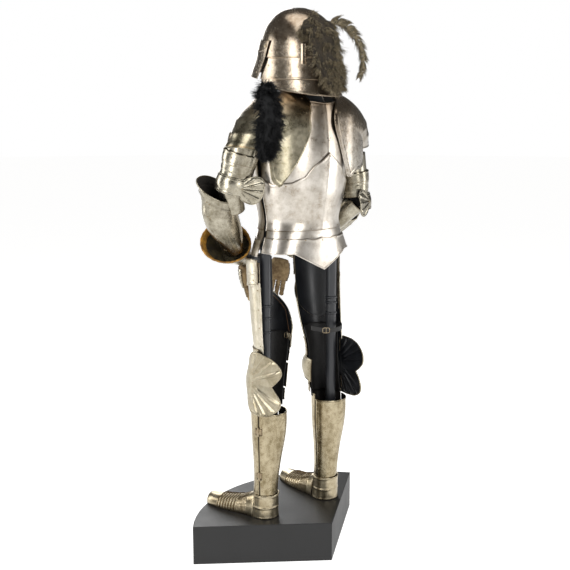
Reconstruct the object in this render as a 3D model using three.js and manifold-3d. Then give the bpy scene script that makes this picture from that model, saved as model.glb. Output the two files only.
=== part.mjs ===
// A suit of plate armour in the Gothic style on its display stand, as a standalone three.js model.
// Millimetres, +Z up. The suit faces -Y and its left side is +X. The origin is on the underside
// of the stand's base, below the middle of the waist.
// Every plate is a thin steel wall that lies on one of a few forms. A form is a short table of
// cross sections of the body part that the plates of that region enclose.
import * as THREE from "three";
import { mergeVertices } from "three/addons/utils/BufferGeometryUtils.js";
import Module from "manifold-3d";

const wasm = await Module();
wasm.setup();

// ---------- driving dimensions ----------
const WALL = 2; // steel sheet
const GAP = 1.8; // between two sheets that overlap
const LAYER = WALL + GAP; // one sheet further out
const BASE_HEIGHT = 140;
const BASE_RADIUS = 487;
const BASE_HALF_ANGLE = 52.5;
const BASE_CORNER = { x: 9, y: 193 };
const POST_RADIUS = 18;

// ---------- colours and finishes ----------
const steel = () => new THREE.MeshStandardMaterial({ color: 0xb9b2a2, roughness: 0.35, metalness: 1 });
const darkPaint = () => new THREE.MeshStandardMaterial({ color: 0x3a3935, roughness: 0.6, metalness: 0 });
const blackCloth = () => new THREE.MeshStandardMaterial({ color: 0x101114, roughness: 0.9, metalness: 0 });
const leather = () => new THREE.MeshStandardMaterial({ color: 0x7d6239, roughness: 0.8, metalness: 0 });
const brownFeather = () => new THREE.MeshStandardMaterial({ color: 0x5c5138, roughness: 1, metalness: 0 });
const blackFeather = () => new THREE.MeshStandardMaterial({ color: 0x1c1e22, roughness: 1, metalness: 0 });

// ---------- small helpers ----------
const { degToRad, clamp, lerp } = THREE.MathUtils;
const vector = (x, y, z) => new THREE.Vector3(x, y, z);
const part = new THREE.Group();

// One column of a table at a place between its rows, on a smooth curve through them.
function smooth(table, key, at, column) {
  const last = table.length - 1;
  let i = 0;
  while (i < last - 1 && at > table[i + 1][key]) i += 1;
  const [a, b] = [table[i], table[i + 1]];
  const [before, after] = [table[Math.max(i - 1, 0)], table[Math.min(i + 2, last)]];
  const span = b[key] - a[key];
  const t = clamp((at - a[key]) / span, 0, 1);
  const slopeA = ((b[column] - before[column]) / (b[key] - before[key])) * span;
  const slopeB = ((after[column] - a[column]) / (after[key] - a[key])) * span;
  return (
    a[column] * (1 + 2 * t) * (1 - t) ** 2 +
    slopeA * t * (1 - t) ** 2 +
    b[column] * t * t * (3 - 2 * t) +
    slopeB * t * t * (t - 1)
  );
}

// A point of a form: degrees run from the outer side (0) to the back (90) and the front (-90).
function onForm(form, z, degrees, lift = 0) {
  const read = (column) => smooth(form, "z", z, column);
  const [c, s] = [Math.cos(degToRad(degrees)), Math.sin(degToRad(degrees))];
  const across = c > 0 || !("inner" in form[0]) ? read("side") : read("inner");
  const deep = s > 0 ? read("back") : read("front");
  // A form may be squarer at the back than an ellipse, which a power under 1 gives.
  const power = s > 0 && "power" in form[0] ? read("power") : 1;
  const [x, y] = [Math.sign(c) * Math.abs(c) ** power, Math.sign(s) * Math.abs(s) ** power];
  return vector(read("x") + x * (across + lift), read("y") + y * (deep + lift), z);
}

// A closed wall whose outer face is surface(u, v), with v running up and u anticlockwise from above.
function wall(surface, { columns, rows, thick = WALL, ring = false }) {
  const step = 1e-3;
  const around = ring ? columns : columns + 1;
  const outer = [];
  const inner = [];
  for (let j = 0; j <= rows; j += 1) {
    for (let i = 0; i < around; i += 1) {
      const [u, v] = [i / columns, j / rows];
      const [u0, u1] = ring ? [u - step, u + step] : [Math.max(u - step, 0), Math.min(u + step, 1)];
      const [v0, v1] = [Math.max(v - step, 0), Math.min(v + step, 1)];
      const along = surface(u1, v).sub(surface(u0, v));
      const rising = surface(u, v1).sub(surface(u, v0));
      const normal = along.cross(rising).normalize();
      const point = surface(u, v);
      outer.push(point);
      inner.push(point.clone().addScaledVector(normal, -thick));
    }
  }
  const points = [...outer, ...inner];
  const faces = [];
  const quad = (a, b, c, d) => faces.push(a, b, c, a, c, d);
  const at = (i, j, layer) => layer * outer.length + j * around + (i % around);
  for (let j = 0; j < rows; j += 1) {
    for (let i = 0; i < columns; i += 1) {
      quad(at(i, j, 0), at(i + 1, j, 0), at(i + 1, j + 1, 0), at(i, j + 1, 0));
      quad(at(i + 1, j, 1), at(i, j, 1), at(i, j + 1, 1), at(i + 1, j + 1, 1));
    }
  }
  for (let i = 0; i < columns; i += 1) {
    quad(at(i + 1, 0, 0), at(i, 0, 0), at(i, 0, 1), at(i + 1, 0, 1));
    quad(at(i, rows, 0), at(i + 1, rows, 0), at(i + 1, rows, 1), at(i, rows, 1));
  }
  if (!ring) {
    for (let j = 0; j < rows; j += 1) {
      quad(at(0, j, 0), at(0, j + 1, 0), at(0, j + 1, 1), at(0, j, 1));
      quad(at(columns, j + 1, 0), at(columns, j, 0), at(columns, j, 1), at(columns, j + 1, 1));
    }
  }
  return geometryOf(points, faces);
}

// A closed solid through rings of points, capped at both ends.
function loft(rings) {
  const around = rings[0].length;
  const points = rings.flat();
  const faces = [];
  const middle = (ring) => ring.reduce((sum, p) => sum.add(p), vector(0, 0, 0)).divideScalar(around);
  const bottom = points.push(middle(rings[0])) - 1;
  const top = points.push(middle(rings.at(-1))) - 1;
  const start = (rings.length - 1) * around;
  for (let i = 0; i < around; i += 1) {
    const next = (i + 1) % around;
    faces.push(bottom, next, i, top, start + i, start + next);
    for (let j = 0; j < rings.length - 1; j += 1) {
      const [a, b] = [j * around, (j + 1) * around];
      faces.push(a + i, a + next, b + next, a + i, b + next, b + i);
    }
  }
  return geometryOf(points, faces);
}

function geometryOf(points, faces) {
  const geometry = new THREE.BufferGeometry().setFromPoints(points);
  geometry.setIndex(faces);
  return geometry;
}

// A geometry as a solid that can be cut and joined, and back again.
const solidOf = (geometry) => {
  const bare = new THREE.BufferGeometry().setAttribute("position", geometry.getAttribute("position"));
  bare.setIndex(geometry.index);
  const merged = mergeVertices(bare, 1e-3);
  const mesh = { numProp: 3, vertProperties: merged.attributes.position.array };
  return new wasm.Manifold(new wasm.Mesh({ ...mesh, triVerts: new Uint32Array(merged.index.array) }));
};

const geometryFrom = (solid) => {
  const { vertProperties, numProp, triVerts } = solid.getMesh();
  const geometry = new THREE.BufferGeometry();
  geometry.setAttribute("position", new THREE.BufferAttribute(new Float32Array(vertProperties), numProp));
  geometry.setIndex(new THREE.BufferAttribute(new Uint32Array(triVerts), 1));
  return geometry;
};
const joined = (...geometries) => geometryFrom(geometries.map(solidOf).reduce((sum, next) => sum.add(next)));
const hollowed = (outer, inner) => geometryFrom(solidOf(outer).subtract(solidOf(inner)));

function add(name, geometry, material, parent = part) {
  const mesh = new THREE.Mesh(geometry, material());
  mesh.name = name;
  parent.add(mesh);
}

// A group whose +Z runs from low to high and whose +X leans towards outward.
function frameBetween(low, high, outward, parent) {
  const up = high.clone().sub(low).normalize();
  const side = outward.clone().addScaledVector(up, -outward.dot(up)).normalize();
  const back = new THREE.Vector3().crossVectors(up, side);
  const group = new THREE.Group();
  group.quaternion.setFromRotationMatrix(new THREE.Matrix4().makeBasis(side, back, up));
  group.position.copy(low);
  parent.add(group);
  return group;
}

// A plate on a form between two angles, with edges that may be numbers or functions of the angle.
function plate(form, { from, to, low, high, columns, rows, lift = 0, flare = 0 }) {
  const edge = (value, degrees) => (typeof value === "function" ? value(degrees) : value);
  const surface = (u, v) => {
    const degrees = lerp(from, to, u);
    const z = lerp(edge(low, degrees), edge(high, degrees), v);
    return onForm(form, z, degrees, lift + flare * (1 - v) ** 3);
  };
  return wall(surface, { columns, rows, ring: to - from === 360 });
}

// A value of a table of [degrees, value] rows, on straight lines between them.
function stepped(rows, degrees) {
  let i = 0;
  while (i < rows.length - 2 && degrees > rows[i + 1][0]) i += 1;
  const [[a, low], [b, high]] = [rows[i], rows[i + 1]];
  return lerp(low, high, clamp((degrees - a) / (b - a), 0, 1));
}

// One ring of a form at a height, as a list of points.
function ring(form, z, columns, lift = 0) {
  const turn = (i) => (360 * i) / columns;
  return Array.from({ length: columns }, (_, i) => onForm(form, z, turn(i), lift));
}

// A tapered rod with round ends between two points, as a solid.
function finger(from, to, radius) {
  const length = from.distanceTo(to);
  const rod = new THREE.CapsuleGeometry(radius, length, 2, 8);
  const up = to.clone().sub(from).normalize();
  rod.applyQuaternion(new THREE.Quaternion().setFromUnitVectors(vector(0, 1, 0), up));
  return rod.translate(...from.clone().add(to).multiplyScalar(0.5));
}

// ---------- the forms ----------
const TORSO = [
  { z: 940, x: 0, y: 6, side: 196, back: 134, front: 150, power: 0.7 },
  { z: 1040, x: 0, y: 6, side: 188, back: 124, front: 140, power: 0.7 },
  { z: 1100, x: 0, y: 6, side: 174, back: 117, front: 134, power: 0.75 },
  { z: 1150, x: 0, y: 6, side: 158, back: 114, front: 128, power: 0.85 },
  { z: 1195, x: 0, y: 6, side: 148, back: 116, front: 126, power: 1 },
  { z: 1240, x: 0, y: 6, side: 154, back: 125, front: 134, power: 1 },
  { z: 1300, x: 0, y: 6, side: 168, back: 137, front: 150, power: 1 },
  { z: 1380, x: 0, y: 6, side: 178, back: 146, front: 166, power: 1 },
  { z: 1450, x: 0, y: 6, side: 174, back: 147, front: 162, power: 1 },
  { z: 1520, x: 0, y: 6, side: 156, back: 141, front: 140, power: 1 },
  { z: 1570, x: 0, y: 6, side: 128, back: 134, front: 108, power: 1 },
  { z: 1605, x: 0, y: 6, side: 104, back: 126, front: 88, power: 1 },
];
const BUST = [
  { z: 1105, x: 0, y: 6, side: 158, back: 106, front: 120 },
  { z: 1195, x: 0, y: 6, side: 124, back: 94, front: 104 },
  { z: 1300, x: 0, y: 6, side: 146, back: 114, front: 132 },
  { z: 1400, x: 0, y: 6, side: 156, back: 122, front: 144 },
  { z: 1500, x: 0, y: 6, side: 140, back: 118, front: 122 },
  { z: 1560, x: 0, y: 6, side: 104, back: 104, front: 84 },
  { z: 1600, x: 0, y: 6, side: 80, back: 86, front: 66 },
  { z: 1660, x: 0, y: 2, side: 62, back: 72, front: 64 },
  { z: 1730, x: 0, y: 0, side: 74, back: 96, front: 84 },
  { z: 1800, x: 0, y: 0, side: 76, back: 100, front: 84 },
  { z: 1850, x: 0, y: 0, side: 52, back: 70, front: 60 },
  { z: 1872, x: 0, y: 0, side: 20, back: 26, front: 24 },
];
const HELMET = [
  { z: 1600, x: 0, y: 0, side: 117, back: 176, front: 215 },
  { z: 1655, x: 0, y: 0, side: 113, back: 164, front: 204 },
  { z: 1700, x: 0, y: 0, side: 110, back: 156, front: 184 },
  { z: 1735, x: 0, y: 0, side: 109, back: 152, front: 158 },
  { z: 1790, x: 0, y: 0, side: 107, back: 142, front: 134 },
  { z: 1840, x: 0, y: 0, side: 93, back: 112, front: 112 },
  { z: 1870, x: 0, y: 0, side: 73, back: 78, front: 88 },
  { z: 1890, x: 0, y: 0, side: 46, back: 42, front: 58 },
  { z: 1899, x: 0, y: 0, side: 18, back: 16, front: 26 },
];
// The left leg, from its ankle's axis. Its foot and greave are turned out on their own.
const LEG = [
  { z: 530, x: -5, y: 12, side: 66, inner: 64, back: 64, front: 66 },
  { z: 590, x: -9, y: 12, side: 66, inner: 63, back: 64, front: 70 },
  { z: 640, x: -14, y: 12, side: 66, inner: 64, back: 66, front: 74 },
  { z: 690, x: -20, y: 14, side: 66, inner: 65, back: 68, front: 72 },
  { z: 740, x: -24, y: 16, side: 68, inner: 68, back: 70, front: 74 },
  { z: 820, x: -32, y: 8, side: 76, inner: 76, back: 78, front: 82 },
  { z: 920, x: -40, y: 0, side: 84, inner: 82, back: 86, front: 90 },
  { z: 1000, x: -42, y: -4, side: 88, inner: 82, back: 88, front: 94 },
  { z: 1120, x: -44, y: -6, side: 92, inner: 82, back: 90, front: 98 },
];
const SHIN = [
  { z: 140, x: 0, y: 0, side: 43, inner: 42, back: 38, front: 62 },
  { z: 190, x: 0, y: 0, side: 43, inner: 41, back: 39, front: 54 },
  { z: 230, x: 0, y: 0, side: 43, inner: 42, back: 40, front: 47 },
  { z: 285, x: 0, y: 1, side: 45, inner: 44, back: 43, front: 44 },
  { z: 350, x: 0, y: 4, side: 50, inner: 49, back: 50, front: 48 },
  { z: 440, x: 0, y: 9, side: 61, inner: 60, back: 62, front: 56 },
  { z: 500, x: 0, y: 11, side: 64, inner: 63, back: 65, front: 60 },
  { z: 560, x: 0, y: 10, side: 62, inner: 61, back: 63, front: 64 },
];
// The upper arm from the elbow upwards, the forearm from the wrist upwards, the cuff, the hand.
const UPPER_ARM = [
  { z: -30, x: 0, y: 0, side: 54, inner: 50, back: 54, front: 52 },
  { z: 40, x: 0, y: 0, side: 56, inner: 50, back: 56, front: 54 },
  { z: 100, x: 0, y: 0, side: 60, inner: 46, back: 60, front: 58 },
  { z: 180, x: 0, y: 0, side: 62, inner: 46, back: 62, front: 60 },
];
const FOREARM = [
  { z: 0, x: 0, y: 0, side: 35, back: 34, front: 34 },
  { z: 40, x: 2, y: 0, side: 43, back: 42, front: 42 },
  { z: 90, x: 8, y: 0, side: 54, back: 50, front: 50 },
  { z: 140, x: 14, y: 0, side: 60, back: 54, front: 54 },
  { z: 190, x: 15, y: 0, side: 60, back: 55, front: 55 },
  { z: 240, x: 7, y: 0, side: 56, back: 52, front: 52 },
  { z: 300, x: 0, y: 0, side: 62, back: 56, front: 56 },
];
const CUFF = [
  { z: -30, x: 0, y: 0, side: 38, back: 40, front: 40 },
  { z: 10, x: 0, y: 0, side: 38, back: 41, front: 41 },
  { z: 60, x: 0, y: 0, side: 54, back: 55, front: 55 },
  { z: 110, x: 0, y: 0, side: 74, back: 74, front: 74 },
  { z: 180, x: 0, y: 0, side: 90, back: 88, front: 88 },
];
const HAND = [
  { z: -10, x: 0, y: 0, side: 17, back: 40, front: 40 },
  { z: 20, x: 0, y: 0, side: 22, back: 42, front: 42 },
  { z: 44, x: 0, y: 0, side: 22, back: 37, front: 37 },
  { z: 62, x: 0, y: 0, side: 20, back: 31, front: 31 },
];

// ---------- the stand ----------
function baseRing(z, inset) {
  const { x, y } = BASE_CORNER;
  const points = [vector(x, y - inset * 1.3, z)];
  for (let i = 0; i <= 20; i += 1) {
    const angle = degToRad(-90 + BASE_HALF_ANGLE * (i / 10 - 1));
    const reach = BASE_RADIUS - inset;
    points.push(vector(x + reach * Math.cos(angle), y + reach * Math.sin(angle), z));
  }
  return points;
}
add("stand_base", loft([baseRing(0, 0), baseRing(BASE_HEIGHT - 3, 0), baseRing(BASE_HEIGHT, 3)]), darkPaint);

const POSTS = { L: { x: 135, y: -15 }, R: { x: -142, y: 22 } };
for (const [side, { x, y }] of Object.entries(POSTS)) {
  const top = BUST[0].z - 0.3;
  const bottom = BASE_HEIGHT + 0.3;
  const post = new THREE.CylinderGeometry(POST_RADIUS, POST_RADIUS, top - bottom, 24);
  post.rotateX(Math.PI / 2).translate(x, y, (top + bottom) / 2);
  add(`stand_post_${side}`, post, darkPaint);
}
add("stand_bust", loft(BUST.map(({ z }) => ring(BUST, z, 24))), blackCloth);

// ---------- the helmet: a sallet with two neck lames and a visor ----------
const skullEdge = [
  [0, 1732],
  [180, 1732],
  [235, 1760],
  [270, 1778],
  [305, 1760],
  [360, 1732],
];
function skullRings(lift, sink) {
  const rows = 8;
  const rings = [];
  for (let j = 0; j <= rows; j += 1) {
    const one = [];
    for (let i = 0; i < 28; i += 1) {
      const degrees = (360 * i) / 28;
      const rise = Math.sin((Math.PI / 2) * (j / rows));
      const z = lerp(stepped(skullEdge, degrees) - sink, HELMET.at(-1).z, rise);
      one.push(onForm(HELMET, z, degrees, lift).add(vector(0, 0, Math.max(lift - 2 * LAYER, -WALL))));
    }
    rings.push(one);
  }
  return rings;
}
const skullOuter = loft(skullRings(2 * LAYER, 0));
const skullInner = loft(skullRings(2 * LAYER - WALL, 5));
add("helmet_skull", hollowed(skullOuter, skullInner), steel);

const tail = (middle, sides) => (degrees) => lerp(middle, sides, (Math.abs(degrees - 90) / 110) ** 2);
const lame1 = { from: -20, to: 200, low: tail(1661, 1668), high: 1738, columns: 18, rows: 3 };
add("helmet_neck_lame_1", plate(HELMET, { ...lame1, lift: LAYER }), steel);
const lame2 = { from: -20, to: 200, high: 1672, columns: 18, rows: 2 };
add("helmet_neck_lame_2", plate(HELMET, { ...lame2, low: tail(1611, 1650) }), steel);

const VISOR_LIFT = 3 * LAYER + 1;
const visorLow = [
  [-180, 1668],
  [-165, 1668],
  [-130, 1684],
  [-90, 1698],
  [-50, 1684],
  [-15, 1668],
  [0, 1668],
];
// Its rear edges slant forward from the pivots to the chin.
const visorPlate = wall(
  (u, v) => {
    const slant = 4 + 18 * (1 - v);
    const degrees = lerp(slant - 180, -slant, u);
    const z = lerp(stepped(visorLow, degrees), 1800 - 8 * Math.cos(degToRad(2 * degrees)), v);
    return onForm(HELMET, z, degrees, VISOR_LIFT);
  },
  { columns: 20, rows: 5 },
);
const sight = new THREE.BoxGeometry(150, 120, 9).translate(0, -160, 1752);
add("helmet_visor", hollowed(visorPlate, sight), steel);

// ---------- the plumes ----------
const PLUME_TUBE = { x: 92, y: 124, low: 1712, high: 1774, radius: 8 };
const { x: tubeX, y: tubeY, low: tubeLow, high: tubeHigh, radius: tubeRadius } = PLUME_TUBE;
const tube = new THREE.CylinderGeometry(tubeRadius, tubeRadius, tubeHigh - tubeLow, 14);
tube.rotateX(Math.PI / 2).translate(tubeX, tubeY, (tubeLow + tubeHigh) / 2);
add("plume_tube", tube, steel);

// A soft body round a path: rows of centre and half sizes across and deep.
function tuft(rows, columns = 10) {
  const path = new THREE.CatmullRomCurve3(rows.map(([x, y, z]) => vector(x, y, z)));
  return loft(
    rows.map(([x, y, z, across, deep], j) => {
      const along = path.getTangent(j / (rows.length - 1));
      const side = new THREE.Vector3().crossVectors(along, vector(0, 1, 0)).normalize();
      const out = new THREE.Vector3().crossVectors(side, along).normalize();
      return Array.from({ length: columns }, (_, i) => {
        const angle = (2 * Math.PI * i) / columns;
        const point = vector(x, y, z).addScaledVector(side, Math.cos(angle) * across);
        return point.addScaledVector(out, -Math.sin(angle) * deep);
      });
    }),
  );
}
const massRows = [
  [104, 134, 1786, 9, 9],
  [110, 160, 1812, 36, 22],
  [86, 192, 1826, 56, 30],
  [76, 208, 1792, 66, 32],
  [76, 218, 1740, 66, 32],
  [66, 222, 1698, 58, 30],
  [44, 226, 1658, 46, 24],
  [24, 228, 1628, 18, 12],
];
add("plume_mass", tuft(massRows, 12), brownFeather);
const featherRows = [
  [26, 176, 1842, 5, 3],
  [-10, 178, 1848, 12, 5],
  [-55, 178, 1834, 14, 5],
  [-95, 176, 1806, 14, 5],
  [-124, 174, 1768, 13, 5],
  [-138, 172, 1728, 11, 5],
  [-133, 170, 1696, 8, 4],
  [-120, 168, 1670, 3, 2],
];
add("plume_feather", tuft(featherRows, 8), brownFeather);
const shoulderRows = [
  [196, 60, 1640, 14, 10],
  [208, 86, 1626, 38, 22],
  [228, 118, 1592, 50, 26],
  [240, 138, 1540, 52, 26],
  [248, 138, 1486, 46, 24],
  [250, 130, 1440, 30, 17],
  [246, 124, 1418, 10, 8],
];
add("shoulder_plume", tuft(shoulderRows, 12), blackFeather);

// ---------- the cuirass ----------
const mirrorHalf = (rows) => [...rows, ...rows.slice(0, -1).reverse().map(([d, v]) => [180 - d, v])];
const backCusps = mirrorHalf([
  [3, 1345],
  [20, 1326],
  [45, 1332],
  [60, 1350],
  [70, 1385],
  [80, 1405],
  [90, 1430],
]);
const backNeck = mirrorHalf([
  [3, 1440],
  [22, 1476],
  [34, 1545],
  [45, 1590],
  [90, 1588],
]);
const front = (rows) => rows.map(([degrees, value]) => [degrees - 180, value]);
const breastNeck = front(
  mirrorHalf([
    [3, 1436],
    [24, 1456],
    [38, 1500],
    [52, 1560],
    [64, 1572],
    [76, 1545],
    [90, 1534],
  ]),
);
const BACK = { from: 3, to: 177, columns: 24 };
const FRONT = { from: -177, to: -3, columns: 24 };
const read = (rows) => (degrees) => stepped(rows, degrees);
const torsoPlates = {
  backplate_upper: { ...BACK, low: 1300, high: read(backNeck), rows: 7 },
  backplate_lower: { ...BACK, low: 1168, high: read(backCusps), rows: 5, lift: LAYER },
  breastplate_upper: { ...FRONT, low: 1300, high: read(breastNeck), rows: 7 },
  breastplate_lower: {
    ...FRONT,
    low: 1168,
    high: (degrees) => 1330 + 100 * (1 - Math.abs(degrees + 90) / 87) ** 2,
    rows: 6,
    lift: LAYER,
  },
  culet_1: { ...BACK, low: 1136, high: 1180, rows: 2, lift: 0 },
  culet_2: {
    ...BACK,
    low: (degrees) => 1036 + 60 * Math.min(Math.abs(Math.cos(degToRad(degrees))) ** 0.7 / 0.66, 1),
    high: 1146,
    rows: 3,
    lift: LAYER,
  },
  fauld_1: { ...FRONT, low: 1126, high: 1180, rows: 2, lift: 0 },
  fauld_2: { ...FRONT, low: 1082, high: 1138, rows: 2, lift: LAYER },
};
for (const [name, shape] of Object.entries(torsoPlates)) add(name, plate(TORSO, shape), steel);

// ---------- both sides ----------
// Everything below is made for the left side. The right side's group is the mirror of it.
const SIDES = [
  {
    side: "L",
    mirror: 1,
    ankle: vector(136, -14, 0),
    footTurn: 16.2,
    kneeTilt: 0,
    thighFrom: -188,
    kneeFrom: -182,
    elbow: vector(248, -46, 1312),
    forearm: vector(288, -90, 1335),
  },
  {
    side: "R",
    mirror: -1,
    ankle: vector(139, 4, 0),
    footTurn: 2.3,
    kneeTilt: -7,
    thighFrom: -150,
    kneeFrom: -158,
    elbow: vector(254, 22, 1226),
    forearm: vector(290, -16, 1250),
  },
];
const SHOULDER = vector(214, 8, 1535);
const WRIST = vector(164, -149, 1080);
const CUFF_WRIST = vector(93, -184, 1050);
const CUFF_RIM = vector(226, -132, 1140);
const KNUCKLES = vector(72, -194, 962);
const HAND_WRIST = vector(92, -188, 1048);

// The shoulder: sections across a path from the neck outwards and down onto the upper arm.
const SHOULDER_PATH = [
  { at: 0, x: 0, y: 26, z: 1510, tilt: 0, over: 116, back: 136, front: 126 },
  { at: 30, x: 30, y: 26, z: 1510, tilt: 0, over: 115, back: 135, front: 126 },
  { at: 80, x: 80, y: 26, z: 1508, tilt: 4, over: 118, back: 126, front: 132 },
  { at: 125, x: 120, y: 26, z: 1504, tilt: 14, over: 118, back: 120, front: 132 },
  { at: 170, x: 162, y: 26, z: 1488, tilt: 36, over: 104, back: 108, front: 118 },
  { at: 205, x: 196, y: 20, z: 1465, tilt: 60, over: 86, back: 94, front: 96 },
  { at: 240, x: 220, y: 6, z: 1425, tilt: 72, over: 80, back: 84, front: 82 },
];
const FRONT_DROP = 110;
function onShoulder(at, degrees, backDrop) {
  const value = (column) => smooth(SHOULDER_PATH, "at", at, column);
  const tilt = degToRad(value("tilt"));
  const over = vector(Math.sin(tilt), 0, Math.cos(tilt));
  const arc = clamp(degrees, -90, 90);
  const beyond = Math.abs(degrees - arc) / 90;
  const deep = arc > 0 ? value("back") : value("front");
  const drop = beyond * (arc > 0 ? backDrop : FRONT_DROP);
  return vector(value("x"), value("y"), value("z"))
    .addScaledVector(over, Math.cos(degToRad(arc)) * value("over"))
    .add(vector(0, Math.sin(degToRad(arc)) * deep, -drop));
}
// The left wing hangs further out over the shoulder blade, the right one nearer the spine.
const WINGS = {
  L: {
    backDrop: 148,
    inner: [
      [-106, 140],
      [-90, 124],
      [-45, 92],
      [0, 70],
      [30, 54],
      [45, 56],
      [70, 72],
      [90, 76],
      [106, 83],
      [126, 100],
      [146, 122],
      [164, 152],
      [180, 184],
    ],
    outer: [
      [-106, 200],
      [-90, 220],
      [-60, 238],
      [60, 238],
      [90, 232],
      [117, 228],
      [148, 222],
      [163, 214],
      [180, 198],
    ],
  },
  R: {
    backDrop: 160,
    inner: [
      [-106, 140],
      [-90, 124],
      [-45, 92],
      [0, 74],
      [30, 66],
      [45, 54],
      [60, 34],
      [75, 27],
      [90, 29],
      [115, 48],
      [150, 75],
      [180, 98],
    ],
    outer: [
      [-106, 200],
      [-90, 220],
      [-60, 238],
      [60, 238],
      [90, 232],
      [117, 224],
      [148, 190],
      [164, 146],
      [180, 108],
    ],
  },
};
const pauldron = ({ inner, outer, backDrop }) =>
  wall(
    (u, v) => {
      const degrees = lerp(-106, 180, v);
      return onShoulder(lerp(stepped(inner, degrees), stepped(outer, degrees), 1 - u), degrees, backDrop);
    },
    { columns: 7, rows: 24 },
  );

// A wing's length behind its joint, by its height from -1 to 1: two lobes with a notch between.
const lobes = [
  [-1, 0.3],
  [-0.92, 0.62],
  [-0.7, 0.93],
  [-0.45, 1],
  [-0.2, 0.86],
  [0, 0.68],
  [0.2, 0.86],
  [0.45, 1],
  [0.7, 0.93],
  [0.92, 0.62],
  [1, 0.3],
];

// A poleyn: a bowl over the knee that runs on behind the outer side as a flat wing.
function onKnee(degrees, share) {
  const round = Math.min(degrees, 0);
  const reach = Math.max(degrees, 0) / 60;
  const rise = clamp((degrees + 60) / 60, 0, 1);
  const half = lerp(42, 108, rise * rise * (3 - 2 * rise));
  const bowl = 14 * Math.cos(degToRad(Math.min(Math.abs(degrees + 95), 90))) * (1 - share * share);
  const z = 645 + half * share;
  const point = onForm(LEG, 645 + 30 * share, round, 2.4 * LAYER + bowl + 6 * rise);
  const length = 122 * reach * stepped(lobes, share);
  return point.setZ(z).add(vector(-0.0013 * length * length + 4 * reach * share * share, length, 0));
}

// A couter: a ring round the elbow, open at the inner bend, with a fan that leaves its back edge.
const couter = wall(
  (u, v) => {
    const degrees = lerp(-110, 130, u);
    const reach = Math.max(degrees - 80, 0) / 50;
    const half = lerp(28, 56, Math.sqrt(reach)) * Math.sqrt(1 - 0.8 * reach ** 4);
    const z = lerp(14, 18, reach) + half * (2 * v - 1);
    const point = onForm(UPPER_ARM, z * 0.5, Math.min(degrees, 80), LAYER + 5 - 5 * (2 * v - 1) ** 2);
    return point.setZ(z).add(vector(-66 * reach, 26 * reach, 0));
  },
  { columns: 20, rows: 5 },
);

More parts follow.
